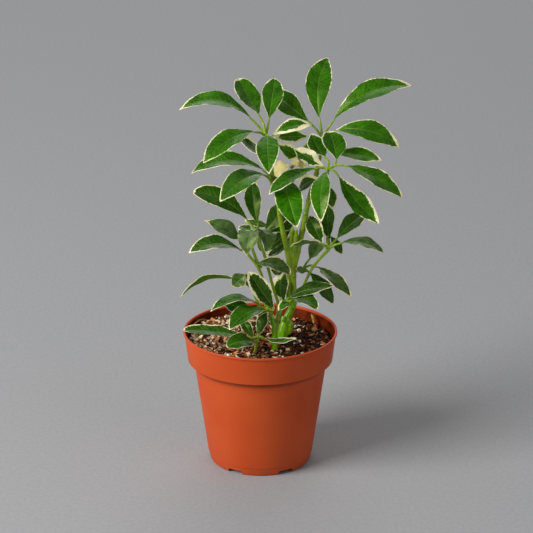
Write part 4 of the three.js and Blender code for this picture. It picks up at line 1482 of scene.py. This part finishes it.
class PLANT_OT_stems(bpy.types.Operator):
    """Models the two woody green stems with their swellings and leaf scars"""

    bl_idname = "plant.stems"
    bl_label = "Stems"

    def execute(self, context):
        sizes = context.scene.plant_stems
        spacing = sizes.scar_spacing / MM
        skin = green_skin("stem_bark_living", (*sizes.green, 1), "#5A9E06", 2.4, woody="#8CA614")
        for number, (node, stem) in enumerate((("stem_left", LEFT_STEM), ("stem_right", RIGHT_STEM))):
            rng = random.Random(number)
            limbs, scars = scarred([limb(*each) for each in stem], spacing, rng)
            piece = tubes(node + "_bark", limbs)
            grow_together(piece)
            paint_scars(piece, limbs, scars)
            wear(piece, skin)
            smooth(piece, 60)
            settle(piece, node)
        return {"FINISHED"}


class PLANT_OT_fronds(bpy.types.Operator):
    """Models every frond: its stalks, and its blades bent from one flat blank"""

    bl_idname = "plant.fronds"
    bl_label = "Fronds"

    def execute(self, context):
        sizes = context.scene.plant_fronds
        fresh = (*sizes.fresh_green, 1)
        cream = (*sizes.cream, 1)
        skins = {
            "upper": leaf_skin("leaf_blade_waxy", fresh, UPPER_GREENS, cream, 0.24),
            "under": leaf_skin("leaf_underside_matte", rgba(FRESH_UNDERSIDE), UNDER_GREENS, cream, 0.5),
            "stalk": green_skin("petiole_living", rgba("#8EAA1C"), "#6A8C10", 1.2),
        }
        blank = blade_blank()
        for number, (name, frond) in enumerate(FRONDS.items()):
            model_frond(name, frond, number, blank, skins, sizes.blade_thickness)
        bpy.data.objects.remove(blank)
        return {"FINISHED"}


class PLANT_OT_stage(bpy.types.Operator):
    """Sets the pale floor, the softboxes, the air's own light and the camera"""

    bl_idname = "plant.stage"
    bl_label = "Stage"

    def execute(self, context):
        sizes = context.scene.plant_stage
        start_clean()
        bpy.ops.mesh.primitive_plane_add(size=FLOOR_SIZE)
        floor = context.object
        floor.name = "studio_floor"
        wear(floor, floor_paper())
        for place, size, share in SOFTBOXES:
            softbox(place, size, sizes.key_power * share)
        world = bpy.data.worlds.new("studio_air")
        world.use_nodes = True
        backdrop = world.node_tree.nodes["Background"]
        backdrop.inputs["Color"].default_value = rgba(AIR_COLOUR)
        backdrop.inputs["Strength"].default_value = AIR_STRENGTH
        context.scene.world = world
        bpy.ops.object.camera_add(
            location=(CAMERA_SHIFT, -sizes.distance, sizes.camera_height),
            rotation=(math.pi / 2 - sizes.camera_tilt, 0, 0),
        )
        camera = context.object
        camera.data.lens = sizes.lens
        camera.data.sensor_width = SENSOR_WIDTH
        context.scene.camera = camera
        context.scene.view_settings.view_transform = "Standard"
        return {"FINISHED"}


class PLANT_PT_panel(bpy.types.Panel):
    """Lists the settings and the operators"""

    bl_idname = "PLANT_PT_panel"
    bl_label = "Umbrella Plant"
    bl_space_type = "VIEW_3D"
    bl_region_type = "UI"
    bl_category = "Plant"

    def draw(self, context):
        for group, fields in PANEL_FIELDS.items():
            for field in fields:
                self.layout.prop(getattr(context.scene, group), field)
        for operator in OPERATORS:
            self.layout.operator(operator.bl_idname)


PANEL_FIELDS = {
    "plant_pot": ("height", "rim_radius", "wall", "colour"),
    "plant_mix": ("bark_chips", "bark_flakes", "perlite_crumbs"),
    "plant_stems": ("scar_spacing", "green"),
    "plant_fronds": ("blade_thickness", "fresh_green", "cream"),
    "plant_stage": ("lens", "distance", "camera_height", "camera_tilt", "key_power"),
}
GROUPS = {
    "plant_pot": PotSettings,
    "plant_mix": MixSettings,
    "plant_stems": StemSettings,
    "plant_fronds": FrondSettings,
    "plant_stage": StageSettings,
}
OPERATORS = (PLANT_OT_pot, PLANT_OT_mix, PLANT_OT_stems, PLANT_OT_fronds, PLANT_OT_stage)


def register():
    for kind in (*GROUPS.values(), *OPERATORS, PLANT_PT_panel):
        bpy.utils.register_class(kind)
    for name, kind in GROUPS.items():
        setattr(bpy.types.Scene, name, bpy.props.PointerProperty(type=kind))


def unregister():
    for name in GROUPS:
        delattr(bpy.types.Scene, name)
    for kind in (PLANT_PT_panel, *reversed(OPERATORS), *reversed(GROUPS.values())):
        bpy.utils.unregister_class(kind)


def main():
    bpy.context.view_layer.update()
    register()
    bpy.ops.plant.pot()
    bpy.ops.plant.mix()
    bpy.ops.plant.stems()
    bpy.ops.plant.fronds()
    bpy.ops.plant.stage()


if __name__ == "__main__":
    main()
